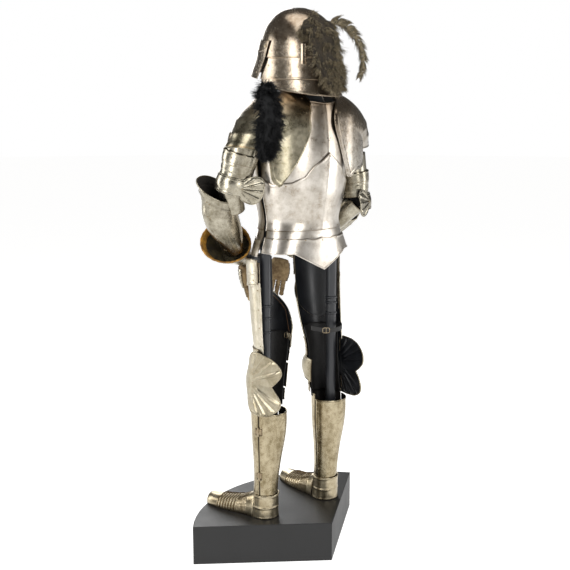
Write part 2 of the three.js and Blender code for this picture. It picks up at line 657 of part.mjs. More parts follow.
for (const { side, mirror, ankle, footTurn, kneeTilt, thighFrom, kneeFrom, elbow, forearm } of SIDES) {
  const body = new THREE.Group();
  body.scale.x = mirror;
  part.add(body);
  const put = (name, geometry, material, parent = body) => add(`${name}_${side}`, geometry, material, parent);

  put("pauldron", pauldron(WINGS[side]), steel);

  const upperArm = frameBetween(elbow, SHOULDER, vector(1, 0, 0), body);
  const band = (low, high, lift) => ({ from: 0, to: 360, low, high, lift, columns: 20, rows: 2 });
  put("upper_arm_lame", plate(UPPER_ARM, band(88, 124, LAYER)), steel, upperArm);
  put("upper_cannon", plate(UPPER_ARM, band(38, 104, 0)), steel, upperArm);
  put("couter", couter, steel, upperArm);

  const lowerArm = frameBetween(WRIST, forearm, vector(1, 0, 0), body);
  const length = WRIST.distanceTo(forearm);
  const mouth = (degrees) => length - 30 + 46 * Math.cos(degToRad(degrees + 45));
  put("lower_cannon", plate(FOREARM, { ...band(4, mouth, 0), rows: 6 }), steel, lowerArm);

  const cuff = frameBetween(CUFF_WRIST, CUFF_RIM, vector(1, 0, 0), body);
  const cuffEnd = (degrees) => 6 + 20 * Math.cos(degToRad(degrees));
  const cuffRim = (degrees) => 124 + 42 * Math.cos(degToRad(degrees + 40));
  put("gauntlet_cuff", plate(CUFF, { ...band(cuffEnd, cuffRim, 0), rows: 5 }), steel, cuff);

  const hand = frameBetween(KNUCKLES, HAND_WRIST, vector(0.6, -0.8, 0), body);
  const back = { from: -78, to: 78, low: -14, high: 56, lift: 3.2, columns: 8, rows: 4 };
  put("gauntlet_hand", plate(HAND, back), steel, hand);
  const palm = loft(HAND.map(({ z }) => ring(HAND, z, 14, -1)));
  const tips = [-28, -10, 9, 27].map((y, i) =>
    finger(vector(0, y, -2), vector(-10, y * 1.05, -66 - 8 * Math.sin(i + 0.6)), 8),
  );
  const thumb = finger(vector(-4, -30, 34), vector(-20, -46, -14), 9);
  put("glove", joined(palm, ...tips, thumb), leather, hand);

  const leg = new THREE.Group();
  leg.position.copy(ankle);
  body.add(leg);
  const thigh = { from: thighFrom, to: 16, columns: 18 };
  const cuisseTop = [
    [-188, 880],
    [-170, 925],
    [-140, 960],
    [-100, 985],
    [16, 990],
  ];
  const innerLame = [
    [-130, 885],
    [-56, 815],
    [-20, 840],
    [16, 860],
  ];
  put("cuisse", plate(LEG, { ...thigh, low: 748, high: read(cuisseTop), rows: 6 }), steel, leg);
  const upper = { from: -130, to: 14, low: read(innerLame), high: 1060, columns: 13, rows: 5, lift: -LAYER };
  put("cuisse_upper", plate(LEG, upper), steel, leg);
  const upperEdge = [
    [-120, 985],
    [-60, 972],
    [18, 985],
  ];
  put(
    "tasset",
    plate(LEG, { from: -118, to: 12, low: read(upperEdge), high: 1070, columns: 12, rows: 3, lift: LAYER }),
    steel,
    leg,
  );
  const kneeLame = { from: kneeFrom, to: 4, columns: 14, rows: 2 };
  put("poleyn_upper_lame", plate(LEG, { ...kneeLame, low: 696, high: 760, lift: LAYER }), steel, leg);
  put("poleyn_lower_lame", plate(LEG, { ...kneeLame, low: 556, high: 600, lift: LAYER }), steel, leg);
  const knee = (u, v) => onKnee(lerp(-180, 60, u), 2 * v - 1);
  const kneeJoint = new THREE.Group();
  kneeJoint.position.set(0, 12, 645);
  kneeJoint.rotation.x = degToRad(kneeTilt);
  leg.add(kneeJoint);
  const poleyn = wall(knee, { columns: 20, rows: 10 }).translate(0, -12, -645);
  put("poleyn", poleyn, steel, kneeJoint);

  const lower = new THREE.Group();
  lower.position.copy(ankle);
  lower.rotation.z = degToRad(footTurn);
  body.add(lower);
  const greaveBack = { from: 4, to: 176, low: 216, high: 532, columns: 12, rows: 8 };
  const greaveFront = { from: -176, to: -4, low: 222, high: 550, columns: 12, rows: 8 };
  put("greave_back", plate(SHIN, greaveBack), steel, lower);
  put("greave_front", plate(SHIN, greaveFront), steel, lower);
  const heel = { from: -24, to: 204, low: BASE_HEIGHT + 0.3, high: 226, lift: LAYER };
  put("sabaton_heel", plate(SHIN, { ...heel, columns: 14, rows: 3 }), steel, lower);

  // The foot: arched sections from the ankle to the toe, hollow and open below and behind.
  const foot = [
    { y: -30, x: 0, half: 44, top: 228 },
    { y: -60, x: 0, half: 43, top: 214 },
    { y: -100, x: 0, half: 44, top: 196 },
    { y: -150, x: 1, half: 46, top: 184 },
    { y: -205, x: 2, half: 42, top: 178 },
    { y: -236, x: 2, half: 33, top: 175 },
    { y: -252, x: 2, half: 20, top: 168 },
  ];
  const arches = (shrink, floor, rear) =>
    foot
      .map(({ y, x, half, top }, j) =>
        Array.from({ length: 15 }, (_, i) => {
          const angle = Math.PI * (1 - i / 14);
          const rise = (top - BASE_HEIGHT - shrink) * Math.sin(angle) ** 0.7;
          const across = (half - shrink) * Math.cos(angle);
          const shift = j === 0 ? rear : shrink * 0.5;
          return vector(x + across, y + shift, Math.max(BASE_HEIGHT + 0.3 + rise, floor));
        }).map((p, i) => (i === 0 || i === 14 ? p.setZ(floor) : p)),
      )
      .reverse();
  const sabaton = hollowed(loft(arches(0, BASE_HEIGHT + 0.3, 0)), loft(arches(WALL, BASE_HEIGHT - 4, 6)));
  put("sabaton", sabaton, steel, lower);
}

export default part;
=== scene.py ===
# The looks of a suit of plate armour in the Gothic style on its display stand.
import math
import random

import bmesh
import bpy
from mathutils import Matrix, Vector


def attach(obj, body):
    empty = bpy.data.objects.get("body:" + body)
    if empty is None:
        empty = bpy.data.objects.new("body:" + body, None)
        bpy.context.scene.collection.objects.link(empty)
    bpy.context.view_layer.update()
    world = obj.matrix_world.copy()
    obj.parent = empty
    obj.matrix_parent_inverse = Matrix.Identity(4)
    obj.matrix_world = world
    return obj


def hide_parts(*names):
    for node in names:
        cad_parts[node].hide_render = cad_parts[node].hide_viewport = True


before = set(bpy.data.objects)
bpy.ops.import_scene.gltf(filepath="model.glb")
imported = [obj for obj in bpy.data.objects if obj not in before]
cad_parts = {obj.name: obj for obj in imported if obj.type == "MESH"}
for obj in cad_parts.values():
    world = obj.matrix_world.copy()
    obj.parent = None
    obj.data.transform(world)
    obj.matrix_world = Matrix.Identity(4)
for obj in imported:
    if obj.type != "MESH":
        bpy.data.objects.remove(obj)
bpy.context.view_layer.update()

# ---------- camera ----------
# It stands behind the suit's left shoulder at the height of its collar and looks a little down.
camera = bpy.data.objects.new("camera", bpy.data.cameras.new("camera"))
bpy.context.collection.objects.link(camera)
camera.location = (2.190, 2.432, 1.570)
camera.rotation_euler = (math.radians(79.48), 0, math.radians(138.782))
camera.data.sensor_width = 36
camera.data.lens = 59.9
bpy.context.scene.camera = camera
bpy.context.scene.view_settings.view_transform = "Standard"


# ---------- light and floor ----------
# Soft boxes stand round the suit, tall ones for the streaks on the plates and a wide one overhead.
# The room between them is dark grey, so that the steel has something dark to mirror.
def linear(colour):
    """A colour as hex, such as "b9b2a2", in the renderer's linear values."""
    parts = [int(colour[i : i + 2], 16) / 255 for i in (0, 2, 4)]
    return [p / 12.92 if p <= 0.04045 else ((p + 0.055) / 1.055) ** 2.4 for p in parts] + [1]


def set_inputs(tree, node, inputs):
    """Sets each input of a node to a value, or links it to a socket. A node stands for its first output."""
    for key, value in inputs.items():
        if isinstance(value, bpy.types.Node):
            value = value.outputs[0]
        if isinstance(value, bpy.types.NodeSocket):
            tree.links.new(value, node.inputs[key])
        else:
            node.inputs[key].default_value = value


def add_node(tree, kind, inputs=None, ramp=(), **settings):
    """A shader node with its settings and inputs, and a colour ramp's two stops where it has one."""
    made = tree.nodes.new("ShaderNode" + kind)
    for key, value in settings.items():
        setattr(made, key, value)
    for index, (position, colour) in enumerate(ramp):
        stop = made.color_ramp.elements[index]
        stop.position, stop.color = position, linear(colour)
    set_inputs(tree, made, inputs or {})
    return made


room = bpy.data.worlds.new("studio")
bpy.context.scene.world = room
room.use_nodes = True
room.node_tree.nodes.clear()
seen = add_node(room.node_tree, "LightPath").outputs["Is Camera Ray"]
backdrop = add_node(room.node_tree, "Background", {"Color": linear("ffffff"), "Strength": 1.0})
walls = add_node(room.node_tree, "Background", {"Color": linear("c2c0bc"), "Strength": 0.25})
either = add_node(room.node_tree, "MixShader", {0: seen, 1: walls, 2: backdrop})
add_node(room.node_tree, "OutputWorld", {"Surface": either})

SOFT_BOXES = [
    # where it stands, width, height, power
    ((3.3, 0.2, 1.7), 1.0, 2.8, 62),
    ((0.9, 3.4, 2.0), 1.2, 2.6, 58),
    ((-2.5, 2.1, 1.6), 0.8, 2.8, 40),
    ((-1.6, -2.9, 1.8), 1.3, 2.6, 52),
    ((1.9, -2.6, 1.5), 0.9, 2.4, 36),
    ((0.3, 0.4, 4.0), 2.6, 2.6, 60),
]
for number, (place, width, height, power) in enumerate(SOFT_BOXES):
    lamp = bpy.data.lights.new(f"soft_box_{number}", "AREA")
    lamp.shape = "RECTANGLE"
    lamp.size, lamp.size_y, lamp.energy = width, height, power
    box = bpy.data.objects.new(lamp.name, lamp)
    box.location = place
    towards = Vector((0, 0, 1.0)) - Vector(place)
    box.rotation_euler = towards.to_track_quat("-Z", "Y").to_euler()
    bpy.context.collection.objects.link(box)

ground = bmesh.new()
bmesh.ops.create_circle(ground, cap_ends=True, segments=64, radius=30)
floor_mesh = bpy.data.meshes.new("floor")
ground.to_mesh(floor_mesh)
ground.free()
floor = bpy.data.objects.new("floor", floor_mesh)
bpy.context.collection.objects.link(floor)
pale = bpy.data.materials.new("pale_floor_paint")
pale.use_nodes = True
floor_look = {"Base Color": linear("b9b8b6"), "Roughness": 0.9, "Specular IOR Level": 0.1}
floor_look |= {"Emission Color": linear("ffffff"), "Emission Strength": 0.92}
set_inputs(pale.node_tree, pale.node_tree.nodes["Principled BSDF"], floor_look)
floor_mesh.materials.append(pale)


# ---------- the stand's base ----------
# A quarter-round plinth of board, painted dark grey with a roller and scuffed.
def new_material(name):
    """An empty material with its node tree, its shader and the piece's own coordinates."""
    made = bpy.data.materials.new(name)
    made.use_nodes = True
    tree = made.node_tree
    shader = tree.nodes["Principled BSDF"]
    return made, tree, shader, add_node(tree, "TexCoord").outputs["Object"]


def repaint(node, material):
    """A solid whose shape is right keeps it, and takes this finish."""
    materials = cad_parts[node].data.materials
    materials.clear()
    materials.append(material)


board, tree, shader, place = new_material("painted_fibreboard")
# Roller texture is 2 mm across, scuffs are 60 mm and larger.
stipple = add_node(tree, "TexNoise", {"Vector": place, "Scale": 420.0, "Detail": 3.0})
scuffs = add_node(tree, "TexNoise", {"Vector": place, "Scale": 9.0, "Detail": 6.0, "Roughness": 0.62})
tone = add_node(tree, "ValToRGB", {"Fac": scuffs}, ramp=((0.35, "0b0b0b"), (0.72, "151516")))
rough = add_node(tree, "MapRange", {"Value": scuffs, "To Min": 0.42, "To Max": 0.62})
rise = add_node(tree, "Bump", {"Height": stipple, "Strength": 0.25, "Distance": 0.0006})
set_inputs(tree, shader, {"Base Color": tone, "Roughness": rough, "Normal": rise})
repaint("stand_base", board)


# ---------- the posts ----------
# Two steel tubes that stand behind the legs, painted dark grey, with clips half way up.
def lerp(a, b, share):
    return a + (b - a) * share


def smooth_step(low, high, value):
    share = min(max((value - low) / (high - low), 0), 1)
    return share * share * (3 - 2 * share)


def sheet_of(surface, columns, rows, place=Matrix(), into=None):
    """A grid laid on surface(u, v), which is in millimetres, with u along its columns and v up its rows.
    Its vertices keep how near they are to the sheet's edge, for the finish. A mirrored place turns its
    faces round."""
    mesh = into or bmesh.new()
    rim = mesh.verts.layers.float.get("rim") or mesh.verts.layers.float.new("rim")
    before = set(mesh.verts)
    closed = (surface(0, 0.5) - surface(1, 0.5)).length < 0.01
    bmesh.ops.create_grid(mesh, x_segments=columns, y_segments=rows, size=0.5)
    new = [vert for vert in mesh.verts if vert not in before]
    for vert in new:
        u, v = vert.co.x + 0.5, vert.co.y + 0.5
        near = min(v, 1 - v) * rows
        if not closed:
            near = min(near, u * columns, (1 - u) * columns)
        vert[rim] = max(0.0, 1 - near / 2.5)
        vert.co = place @ (surface(u, v) / 1000)
    bmesh.ops.remove_doubles(mesh, verts=new, dist=2e-6)
    if place.determinant() < 0:
        bmesh.ops.reverse_faces(mesh, faces=[f for f in mesh.faces if f.verts[0] not in before])
    return mesh


def rod(path, radius, around=10, place=Matrix(), into=None):
    """A closed round rod along points in millimetres, with rounded ends. The radius may be a function of
    the share of the way along."""
    size = radius if callable(radius) else (lambda share: radius)
    ahead = [(path[min(i + 1, len(path) - 1)] - path[max(i - 1, 0)]).normalized() for i in range(len(path))]
    sides = [ahead[0].orthogonal().normalized()]
    for direction in ahead[1:]:
        sides.append((sides[-1] - direction * sides[-1].dot(direction)).normalized())
    steps, ends = len(path) - 1, 2

    def skin(u, v):
        step = v * (steps + 2 * ends) - ends
        at = min(max(step, 0), steps)
        i, j = min(int(at), steps - 1), min(round(at), steps)
        reach, over = size(at / steps), (step - at) / ends
        centre = path[i].lerp(path[i + 1], at - i) + ahead[j] * over * reach * 0.8
        turn = 2 * math.pi * u
        across = sides[j] * math.cos(turn) + ahead[j].cross(sides[j]) * math.sin(turn)
        return centre + across * reach * math.sqrt(max(1 - over * over, 0))

    return sheet_of(skin, around, steps + 2 * ends, place, into)


def finished(mesh, name, materials, nodes=(), body="armour", wall=0.0, bevel=0.0):
    """The mesh as an object that rides on its body and stands for its CAD nodes. A sheet gets its
    wall inwards, with the second material on the inside."""
    data = bpy.data.meshes.new(name)
    for face in mesh.faces:
        face.smooth = True
    mesh.to_mesh(data)
    mesh.free()
    made = bpy.data.objects.new(name, data)
    bpy.context.collection.objects.link(made)
    for material in materials:
        data.materials.append(material)
    if wall:
        thick = made.modifiers.new("wall", "SOLIDIFY")
        thick.thickness, thick.offset = wall / 1000, -1
        thick.use_even_offset = True
        thick.material_offset = len(materials) - 1
        thick.use_quality_normals = True
    if bevel:
        eased = made.modifiers.new("eased_edges", "BEVEL")
        eased.width, eased.segments = bevel / 1000, 2
        eased.limit_method, eased.angle_limit = "ANGLE", math.radians(50)
    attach(made, body)
    if nodes:
        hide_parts(*nodes)
    return made


tube_paint, tree, shader, place = new_material("satin_enamel_on_tube")
drawn = add_node(tree, "Mapping", {"Vector": place, "Scale": (60.0, 60.0, 3.0)})
streaks = add_node(tree, "TexNoise", {"Vector": drawn, "Scale": 1.0, "Detail": 4.0})
tone = add_node(tree, "ValToRGB", {"Fac": streaks}, ramp=((0.3, "1c1d20"), (0.75, "303236")))
rough = add_node(tree, "MapRange", {"Value": streaks, "To Min": 0.28, "To Max": 0.46})
set_inputs(tree, shader, {"Base Color": tone, "Roughness": rough})

CLIP_RADIUS = 18.4
clips = None
for side, x, y, heights in (("L", 135, -15, (812, 862, 905)), ("R", -142, 22, (848, 886, 905))):
    repaint(f"stand_post_{side}", tube_paint)
    for height in heights:

        def clip(u, v):
            reach, turn = CLIP_RADIUS + 3 * math.sin(math.pi * v), 2 * math.pi * u
            return Vector((x + reach * math.cos(turn), y + reach * math.sin(turn), height + 9 * (v - 0.5)))

        clips = sheet_of(clip, 32, 6, into=clips)
finished(clips, "post_clips", [tube_paint], wall=1.2)


# ---------- the bust ----------
# A limbless form of padded board under black jersey, which carries the cuirass and the helmet.
def smooth(table, at, column):
    """One column of a table, whose first column is the place, on a smooth curve through its rows."""
    last = len(table) - 1
    i = 0
    while i < last - 1 and at > table[i + 1][0]:
        i += 1
    a, b = table[i], table[i + 1]
    before, after = table[max(i - 1, 0)], table[min(i + 2, last)]
    span = b[0] - a[0]
    t = min(max((at - a[0]) / span, 0), 1)
    slope_a = (b[column] - before[column]) / (b[0] - before[0]) * span
    slope_b = (after[column] - a[column]) / (after[0] - a[0]) * span
    return (
        a[column] * (1 + 2 * t) * (1 - t) ** 2
        + slope_a * t * (1 - t) ** 2
        + b[column] * t * t * (3 - 2 * t)
        + slope_b * t * t * (t - 1)
    )


def on_form(form, z, degrees, lift=0.0):
    """A point of a form, a table of cross sections: height, x, y, outer side, inner side, back, front and
    squareness of the back. Degrees run from the outer side to the back at 90 and the front at -90."""
    c, s = math.cos(math.radians(degrees)), math.sin(math.radians(degrees))
    across = smooth(form, z, 3 if c > 0 else 4)
    deep = smooth(form, z, 5 if s > 0 else 6)
    power = smooth(form, z, 7) if s > 0 else 1
    x = math.copysign(abs(c) ** power, c)
    y = math.copysign(abs(s) ** power, s)
    return Vector((smooth(form, z, 1) + x * (across + lift), smooth(form, z, 2) + y * (deep + lift), z))


def same_sides(rows):
    """A form whose inner side is as wide as its outer side, from rows without that column."""
    return [(z, x, y, side, side, *rest, *([1] if len(rest) == 2 else [])) for z, x, y, side, *rest in rows]


BUST = same_sides(
    [
        # z, x, y, side, back, front
        (1105, 0, 6, 158, 106, 120),
        (1195, 0, 6, 124, 94, 104),
        (1300, 0, 6, 146, 114, 132),
        (1400, 0, 6, 156, 122, 144),
        (1500, 0, 6, 140, 118, 122),
        (1560, 0, 6, 104, 104, 84),
        (1600, 0, 6, 80, 86, 66),
        (1660, 0, 2, 62, 72, 64),
        (1730, 0, 0, 74, 96, 84),
        (1800, 0, 0, 76, 100, 84),
        (1850, 0, 0, 52, 70, 60),
        (1872, 0, 0, 20, 26, 24),
    ]
)
jersey, tree, shader, place = new_material("black_cotton_jersey")
# The knit's ribs are 1.5 mm apart, drawn as 3 mm so that they show.
ribs = add_node(tree, "TexWave", {"Vector": place, "Scale": 105.0, "Distortion": 1.5, "Detail": 2.0})
lint = add_node(tree, "TexNoise", {"Vector": place, "Scale": 60.0, "Detail": 5.0})
tone = add_node(tree, "ValToRGB", {"Fac": lint}, ramp=((0.3, "0c0d10"), (0.8, "1b1c20")))
rise = add_node(tree, "Bump", {"Height": ribs.outputs["Fac"], "Strength": 0.35, "Distance": 0.0008})
set_inputs(tree, shader, {"Base Color": tone, "Normal": rise, "Roughness": 0.92, "Sheen Weight": 0.25})


def bust_skin(u, v):
    """The bust from its flat underside to the crown of its head, closed at both ends."""
    height = lerp(BUST[0][0], BUST[-1][0], min(max((v - 0.04) / 0.9, 0), 1))
    point = on_form(BUST, height, 360 * u)
    middle = Vector((0, 6 if v < 0.5 else 0, height))
    if v < 0.04:
        return middle.lerp(point, v / 0.04)
    if v > 0.94:
        closing = (v - 0.94) / 0.06
        return (middle + Vector((0, 0, 4))).lerp(point, math.sqrt(max(1 - closing**2, 0)))
    return point


finished(sheet_of(bust_skin, 56, 90), "display_bust", [jersey], ["stand_bust"])

# A strip of pale tape runs up the back of the bust's neck, and shows in the gap under the helmet.
tape, tree, shader, place = new_material("grey_cotton_tape")
threads = add_node(tree, "TexNoise", {"Vector": place, "Scale": 900.0, "Detail": 2.0})
shade = add_node(tree, "ValToRGB", {"Fac": threads}, ramp=((0.0, "8c877c"), (1.0, "c9c5ba")))
set_inputs(tree, shader, {"Base Color": shade, "Roughness": 0.8})
neck_tape = sheet_of(lambda u, v: on_form(BUST, lerp(1580, 1680, v), 118 + 3.5 * (1 - 2 * u), 1.5), 4, 24)
finished(neck_tape, "neck_tape", [tape], wall=0.8)


# ---------- the steel ----------
# Old sheet steel, filed and polished by hand. It is bright where it was cleaned, grey and brown where
# damp and oil have stained it, with fine pits and short scratches, and darker along its edges. On the
# greaves the bright and grey tones run in upright streaks, which are painted reflection.
def steel_finish(
    name, bright, grey, brown, stained, gloss, pits, grain=(14.0, 14.0, 14.0), pull=None, edge="5a4a34"
):
    """Steel in three tones. stained is the share under the grey tone, pull is a direction, a start and
    an end in metres between which the brown takes over, and grain is the cloud pattern's scale."""
    made, tree, shader, place = new_material(name)
    mapped = add_node(tree, "Mapping", {"Vector": place, "Scale": grain})
    clouds = add_node(tree, "TexNoise", {"Vector": mapped, "Scale": 1.0, "Detail": 7.0, "Roughness": 0.62})
    # Stains 20 mm across and pits about 1.5 mm across, the smallest that show.
    stains = add_node(tree, "TexNoise", {"Vector": place, "Scale": 48.0, "Detail": 6.0, "Roughness": 0.7})
    specks = add_node(tree, "TexNoise", {"Vector": place, "Scale": 620.0, "Detail": 2.0})
    brushed = add_node(tree, "Mapping", {"Vector": place, "Scale": (700.0, 700.0, 40.0)})
    lines = add_node(tree, "TexNoise", {"Vector": brushed, "Scale": 1.0, "Detail": 3.0})
    both = add_node(tree, "Math", {0: clouds, 1: stains}, operation="ADD")
    clean = 0.5 * (1 - stained)
    soft = add_node(tree, "MapRange", {"Value": both, "From Min": 1.00 - clean, "From Max": 1.62 - clean})
    share = add_node(tree, "MapRange", {"Value": stains, "From Min": 0.58, "From Max": 0.78, "To Max": 0.45})
    if pull:
        direction, start, end = pull
        wave = end - start
        along = add_node(tree, "VectorMath", {0: place, 1: direction}, operation="DOT_PRODUCT")
        waves = {0: clouds, 1: wave * 0.9, 2: along.outputs["Value"]}
        waved = add_node(tree, "Math", waves, operation="MULTIPLY_ADD")
        limits = {"From Min": start + wave * 0.45, "From Max": end + wave * 0.45, "To Max": 0.8}
        reach = add_node(tree, "MapRange", {"Value": waved, **limits})
        share = add_node(tree, "Math", {0: share, 1: reach}, operation="MAXIMUM")
    rim = add_node(tree, "Attribute", attribute_name="rim").outputs["Fac"]
    worn = add_node(tree, "Math", {0: rim, 1: stains}, operation="MULTIPLY")
    worn = add_node(tree, "MapRange", {"Value": worn, "From Min": 0.12, "From Max": 0.62})
    holes = {"Value": specks, "From Min": 0.64, "From Max": 0.74, "To Max": 0.55 * pits}
    dark = add_node(tree, "MapRange", holes)
    tone = add_node(tree, "Mix", {0: soft, 6: linear(grey), 7: linear(bright)}, data_type="RGBA")
    for cover, colour in ((share, brown), (worn, edge), (dark, "33281c")):
        tone = add_node(tree, "Mix", {0: cover, 6: tone.outputs[2], 7: linear(colour)}, data_type="RGBA")
    spread = {"From Min": 0.6, "From Max": 1.4, "To Min": gloss, "To Max": gloss + 0.12}
    rough = add_node(tree, "MapRange", {"Value": both, **spread})
    rough = add_node(tree, "Math", {0: lines, 1: 0.07, 2: rough}, operation="MULTIPLY_ADD")
    # Dents, then stains that stand proud, then pits, each on the relief below it.
    relief = {}
    layers = ((clouds, 0.3, 0.0025), (stains, 0.3, 0.0006), (specks, 0.3 * pits, 0.0003))
    for height, strength, depth in layers:
        bump = {"Height": height, "Strength": strength, "Distance": depth, **relief}
        relief = {"Normal": add_node(tree, "Bump", bump)}
    set_inputs(tree, shader, {"Base Color": tone.outputs[2], "Roughness": rough, "Metallic": 1.0, **relief})
    return made


def inside_paint(name, dark, light, gloss):
    """The paint or scale on the inside of a plate, in two tones."""
    made, tree, shader, place = new_material(name)
    clouds = add_node(tree, "TexNoise", {"Vector": place, "Scale": 26.0, "Detail": 5.0})
    tone = add_node(tree, "ValToRGB", {"Fac": clouds}, ramp=((0.3, dark), (0.75, light)))
    rough = add_node(tree, "MapRange", {"Value": clouds, "To Min": gloss, "To Max": gloss + 0.25})
    rise = add_node(tree, "Bump", {"Height": clouds, "Strength": 0.3, "Distance": 0.002})
    set_inputs(tree, shader, {"Base Color": tone, "Roughness": rough, "Normal": rise})
    return made


forge_black = inside_paint("forge_scale", "141210", "2b2621", 0.5)
helmet_pull = ((-0.9, 0.1, 0.3), 0.40, 0.60)
helmet_steel = steel_finish(
    "polished_steel_copper_stained", "c5bbaa", "7d6d5b", "5e4630", 0.5, 0.15, 0.7, pull=helmet_pull
)
neck_pull = ((-0.25, 0.1, 1.0), 1.41, 1.61)
back_steel = steel_finish(
    "satin_steel_brown_at_the_neck", "d8d3cb", "a1988b", "5f4827", 0.42, 0.21, 0.6, pull=neck_pull
)
rivet_steel = steel_finish("filed_rivet_steel", "b5a992", "7c6a50", "5a4029", 0.5, 0.3, 1.0)

# ---------- the helmet's skull and neck lames ----------
# A sallet raised from one sheet, with two lames riveted below it at the back to guard the neck.
WALL, LAYER = 2.0, 3.8  # a sheet's thickness, and the step to the next sheet over it
EASED = 0.4  # how far a cut edge is filed round


def curve(rows, at):
    """A value of a table of pairs, on a smooth curve through them."""
    return smooth(rows, min(max(at, rows[0][0]), rows[-1][0]), 1)


def bump_line(value, width):
    """A smooth raised line, 1 at its middle and 0 beyond its width."""
    return math.exp(-((value / width) ** 2))


def plate(form, start, stop, low, high, lift=0.0, relief=None):
    """A plate's outer face on a form, between two angles and two edges, with its relief in millimetres."""

    def face(u, v):
        degrees = lerp(start, stop, u)
        bottom = low(degrees) if callable(low) else low
        top = high(degrees) if callable(high) else high
        z = lerp(bottom, top, v)
        raised = relief(degrees, z, z - bottom, top - z) if relief else 0.0
        return on_form(form, z, degrees, lift + raised)

    return face


def spot(face, u, v, place=Matrix()):
    """A point of a face, in metres, and its outward direction."""
    step = 2e-3
    along = place @ (face(min(u + step, 1), v) / 1000) - place @ (face(max(u - step, 0), v) / 1000)
    rising = place @ (face(u, min(v + step, 1)) / 1000) - place @ (face(u, max(v - step, 0)) / 1000)
    outward = along.cross(rising).normalized()
    return place @ (face(u, v) / 1000), outward * (-1 if place.determinant() < 0 else 1)


def rivets(spots, radius, into=None, height=0.55):
    """Domed rivet heads at places with their directions."""
    mesh = into or bmesh.new()
    for point, outward in spots:
        turn = outward.to_track_quat("Z", "Y").to_matrix().to_4x4()
        flat = Matrix.Diagonal((1, 1, height, 1))
        where = Matrix.Translation(point) @ turn @ flat
        bmesh.ops.create_uvsphere(mesh, u_segments=10, v_segments=6, radius=radius / 1000, matrix=where)
    return mesh


def edge_path(face, side, count):
    """Points in millimetres along one edge of a face: bottom, top, left or right."""
    ends = {
        "bottom": lambda s: face(s, 0),
        "top": lambda s: face(s, 1),
        "left": lambda s: face(0, s),
        "right": lambda s: face(1, s),
    }
    return [ends[side](i / count) for i in range(count + 1)]


def plate_piece(name, face, columns, rows, steel, node=None, place=Matrix(), lining=forge_black):
    """A plate of sheet steel with its inside finish, as one piece that stands for its solid."""
    mesh = sheet_of(face, columns, rows, place)
    finished(mesh, name, [steel, lining], [node] if node else (), wall=WALL, bevel=EASED)


def rolled_edges(name, steel, *edges, body="armour"):
    """Edges turned over a wire. Each has its face, its place, which side it is, its steps and its radius."""
    mesh = None
    for face, place, side, steps, radius in edges:
        mesh = rod(edge_path(face, side, steps), radius, place=place, into=mesh)
    finished(mesh, name, [steel], body=body)


def rivet_heads(name, *groups, body="armour"):
    """Rivets in groups. Each has its face, its place, its radius, and the shares across and up the face."""
    mesh = None
    for face, place, radius, across, up in groups:
        mesh = rivets([spot(face, u, v, place) for u in across for v in up], radius, mesh)
    finished(mesh, name, [rivet_steel], body=body)


HELMET = same_sides(
    [
        # z, x, y, side, back, front
        (1600, 0, 0, 117, 176, 215),
        (1655, 0, 0, 113, 164, 204),
        (1700, 0, 0, 110, 156, 184),
        (1735, 0, 0, 109, 152, 158),
        (1790, 0, 0, 107, 142, 134),
        (1840, 0, 0, 93, 112, 112),
        (1870, 0, 0, 73, 78, 88),
        (1890, 0, 0, 46, 42, 58),
        (1899, 0, 0, 18, 16, 26),
    ]
)
SKULL_EDGE = [(0, 1732), (180, 1732), (235, 1760), (270, 1778), (305, 1760), (360, 1732)]
CROWN = HELMET[-1][0]


def on_lines(rows, at):
    """A value of a table of pairs, on straight lines between them."""
    i = 0
    while i < len(rows) - 2 and at > rows[i + 1][0]:
        i += 1
    return lerp(rows[i][1], rows[i + 1][1], min(max((at - rows[i][0]) / (rows[i + 1][0] - rows[i][0]), 0), 1))


def skull(u, v):
    degrees = 360 * u
    bottom = on_lines(SKULL_EDGE, degrees)
    closing = max(v - 0.9, 0) / 0.1
    z = lerp(bottom, CROWN, math.sin(math.pi / 2 * min(v / 0.9, 1)))
    point = on_form(HELMET, z, degrees, 2 * LAYER + 0.8 * bump_line(z - bottom - 6, 3))
    if closing:
        point = point.lerp(Vector((0, 2, CROWN + 1.5)), closing)
        point.z = CROWN - 1 + 2.5 * math.sin(math.pi / 2 * closing)
    return point


def tail(middle, sides):
    return lambda degrees: lerp(middle, sides, (abs(degrees - 90) / 110) ** 2)


def lame_relief(degrees, z, above, below):
    """A turned line along the bottom edge and a soft one along the top edge."""
    return 0.9 * bump_line(above - 4, 2.2) + 0.5 * bump_line(below - 5, 3)


HERE = Matrix()  # the place of what isn't made for a left and a right side
neck_1 = plate(HELMET, -20, 200, tail(1661, 1668), 1738, LAYER, lame_relief)
neck_2 = plate(HELMET, -20, 200, tail(1611, 1650), 1672, 0, lame_relief)
plate_piece("helmet_skull_plate", skull, 120, 60, helmet_steel, "helmet_skull")
plate_piece("helmet_neck_plate_1", neck_1, 96, 32, helmet_steel, "helmet_neck_lame_1")
plate_piece("helmet_neck_plate_2", neck_2, 96, 28, helmet_steel, "helmet_neck_lame_2")
rolled_edges("helmet_neck_roll", helmet_steel, (neck_2, HERE, "bottom", 80, 2.3))
rivet_heads(
    "helmet_rivets",
    (neck_1, HERE, 2.8, (0.06, 0.2, 0.36, 0.5, 0.64, 0.8, 0.94), (0.62,)),
    (neck_2, HERE, 2.8, (0.08, 0.3, 0.5, 0.7, 0.92), (0.55,)),
    (skull, HERE, 2.6, [i / 18 for i in range(18)], (0.09,)),
)

# ---------- the visor ----------
# A half visor that turns on two bolts at the temples, with one sight across it and a turned edge.
VISOR_LOW = [(-180, 1668), (-165, 1668), (-130, 1684), (-90, 1698), (-50, 1684), (-15, 1668), (0, 1668)]
VISOR_TOP, BROW = 1800, 1762


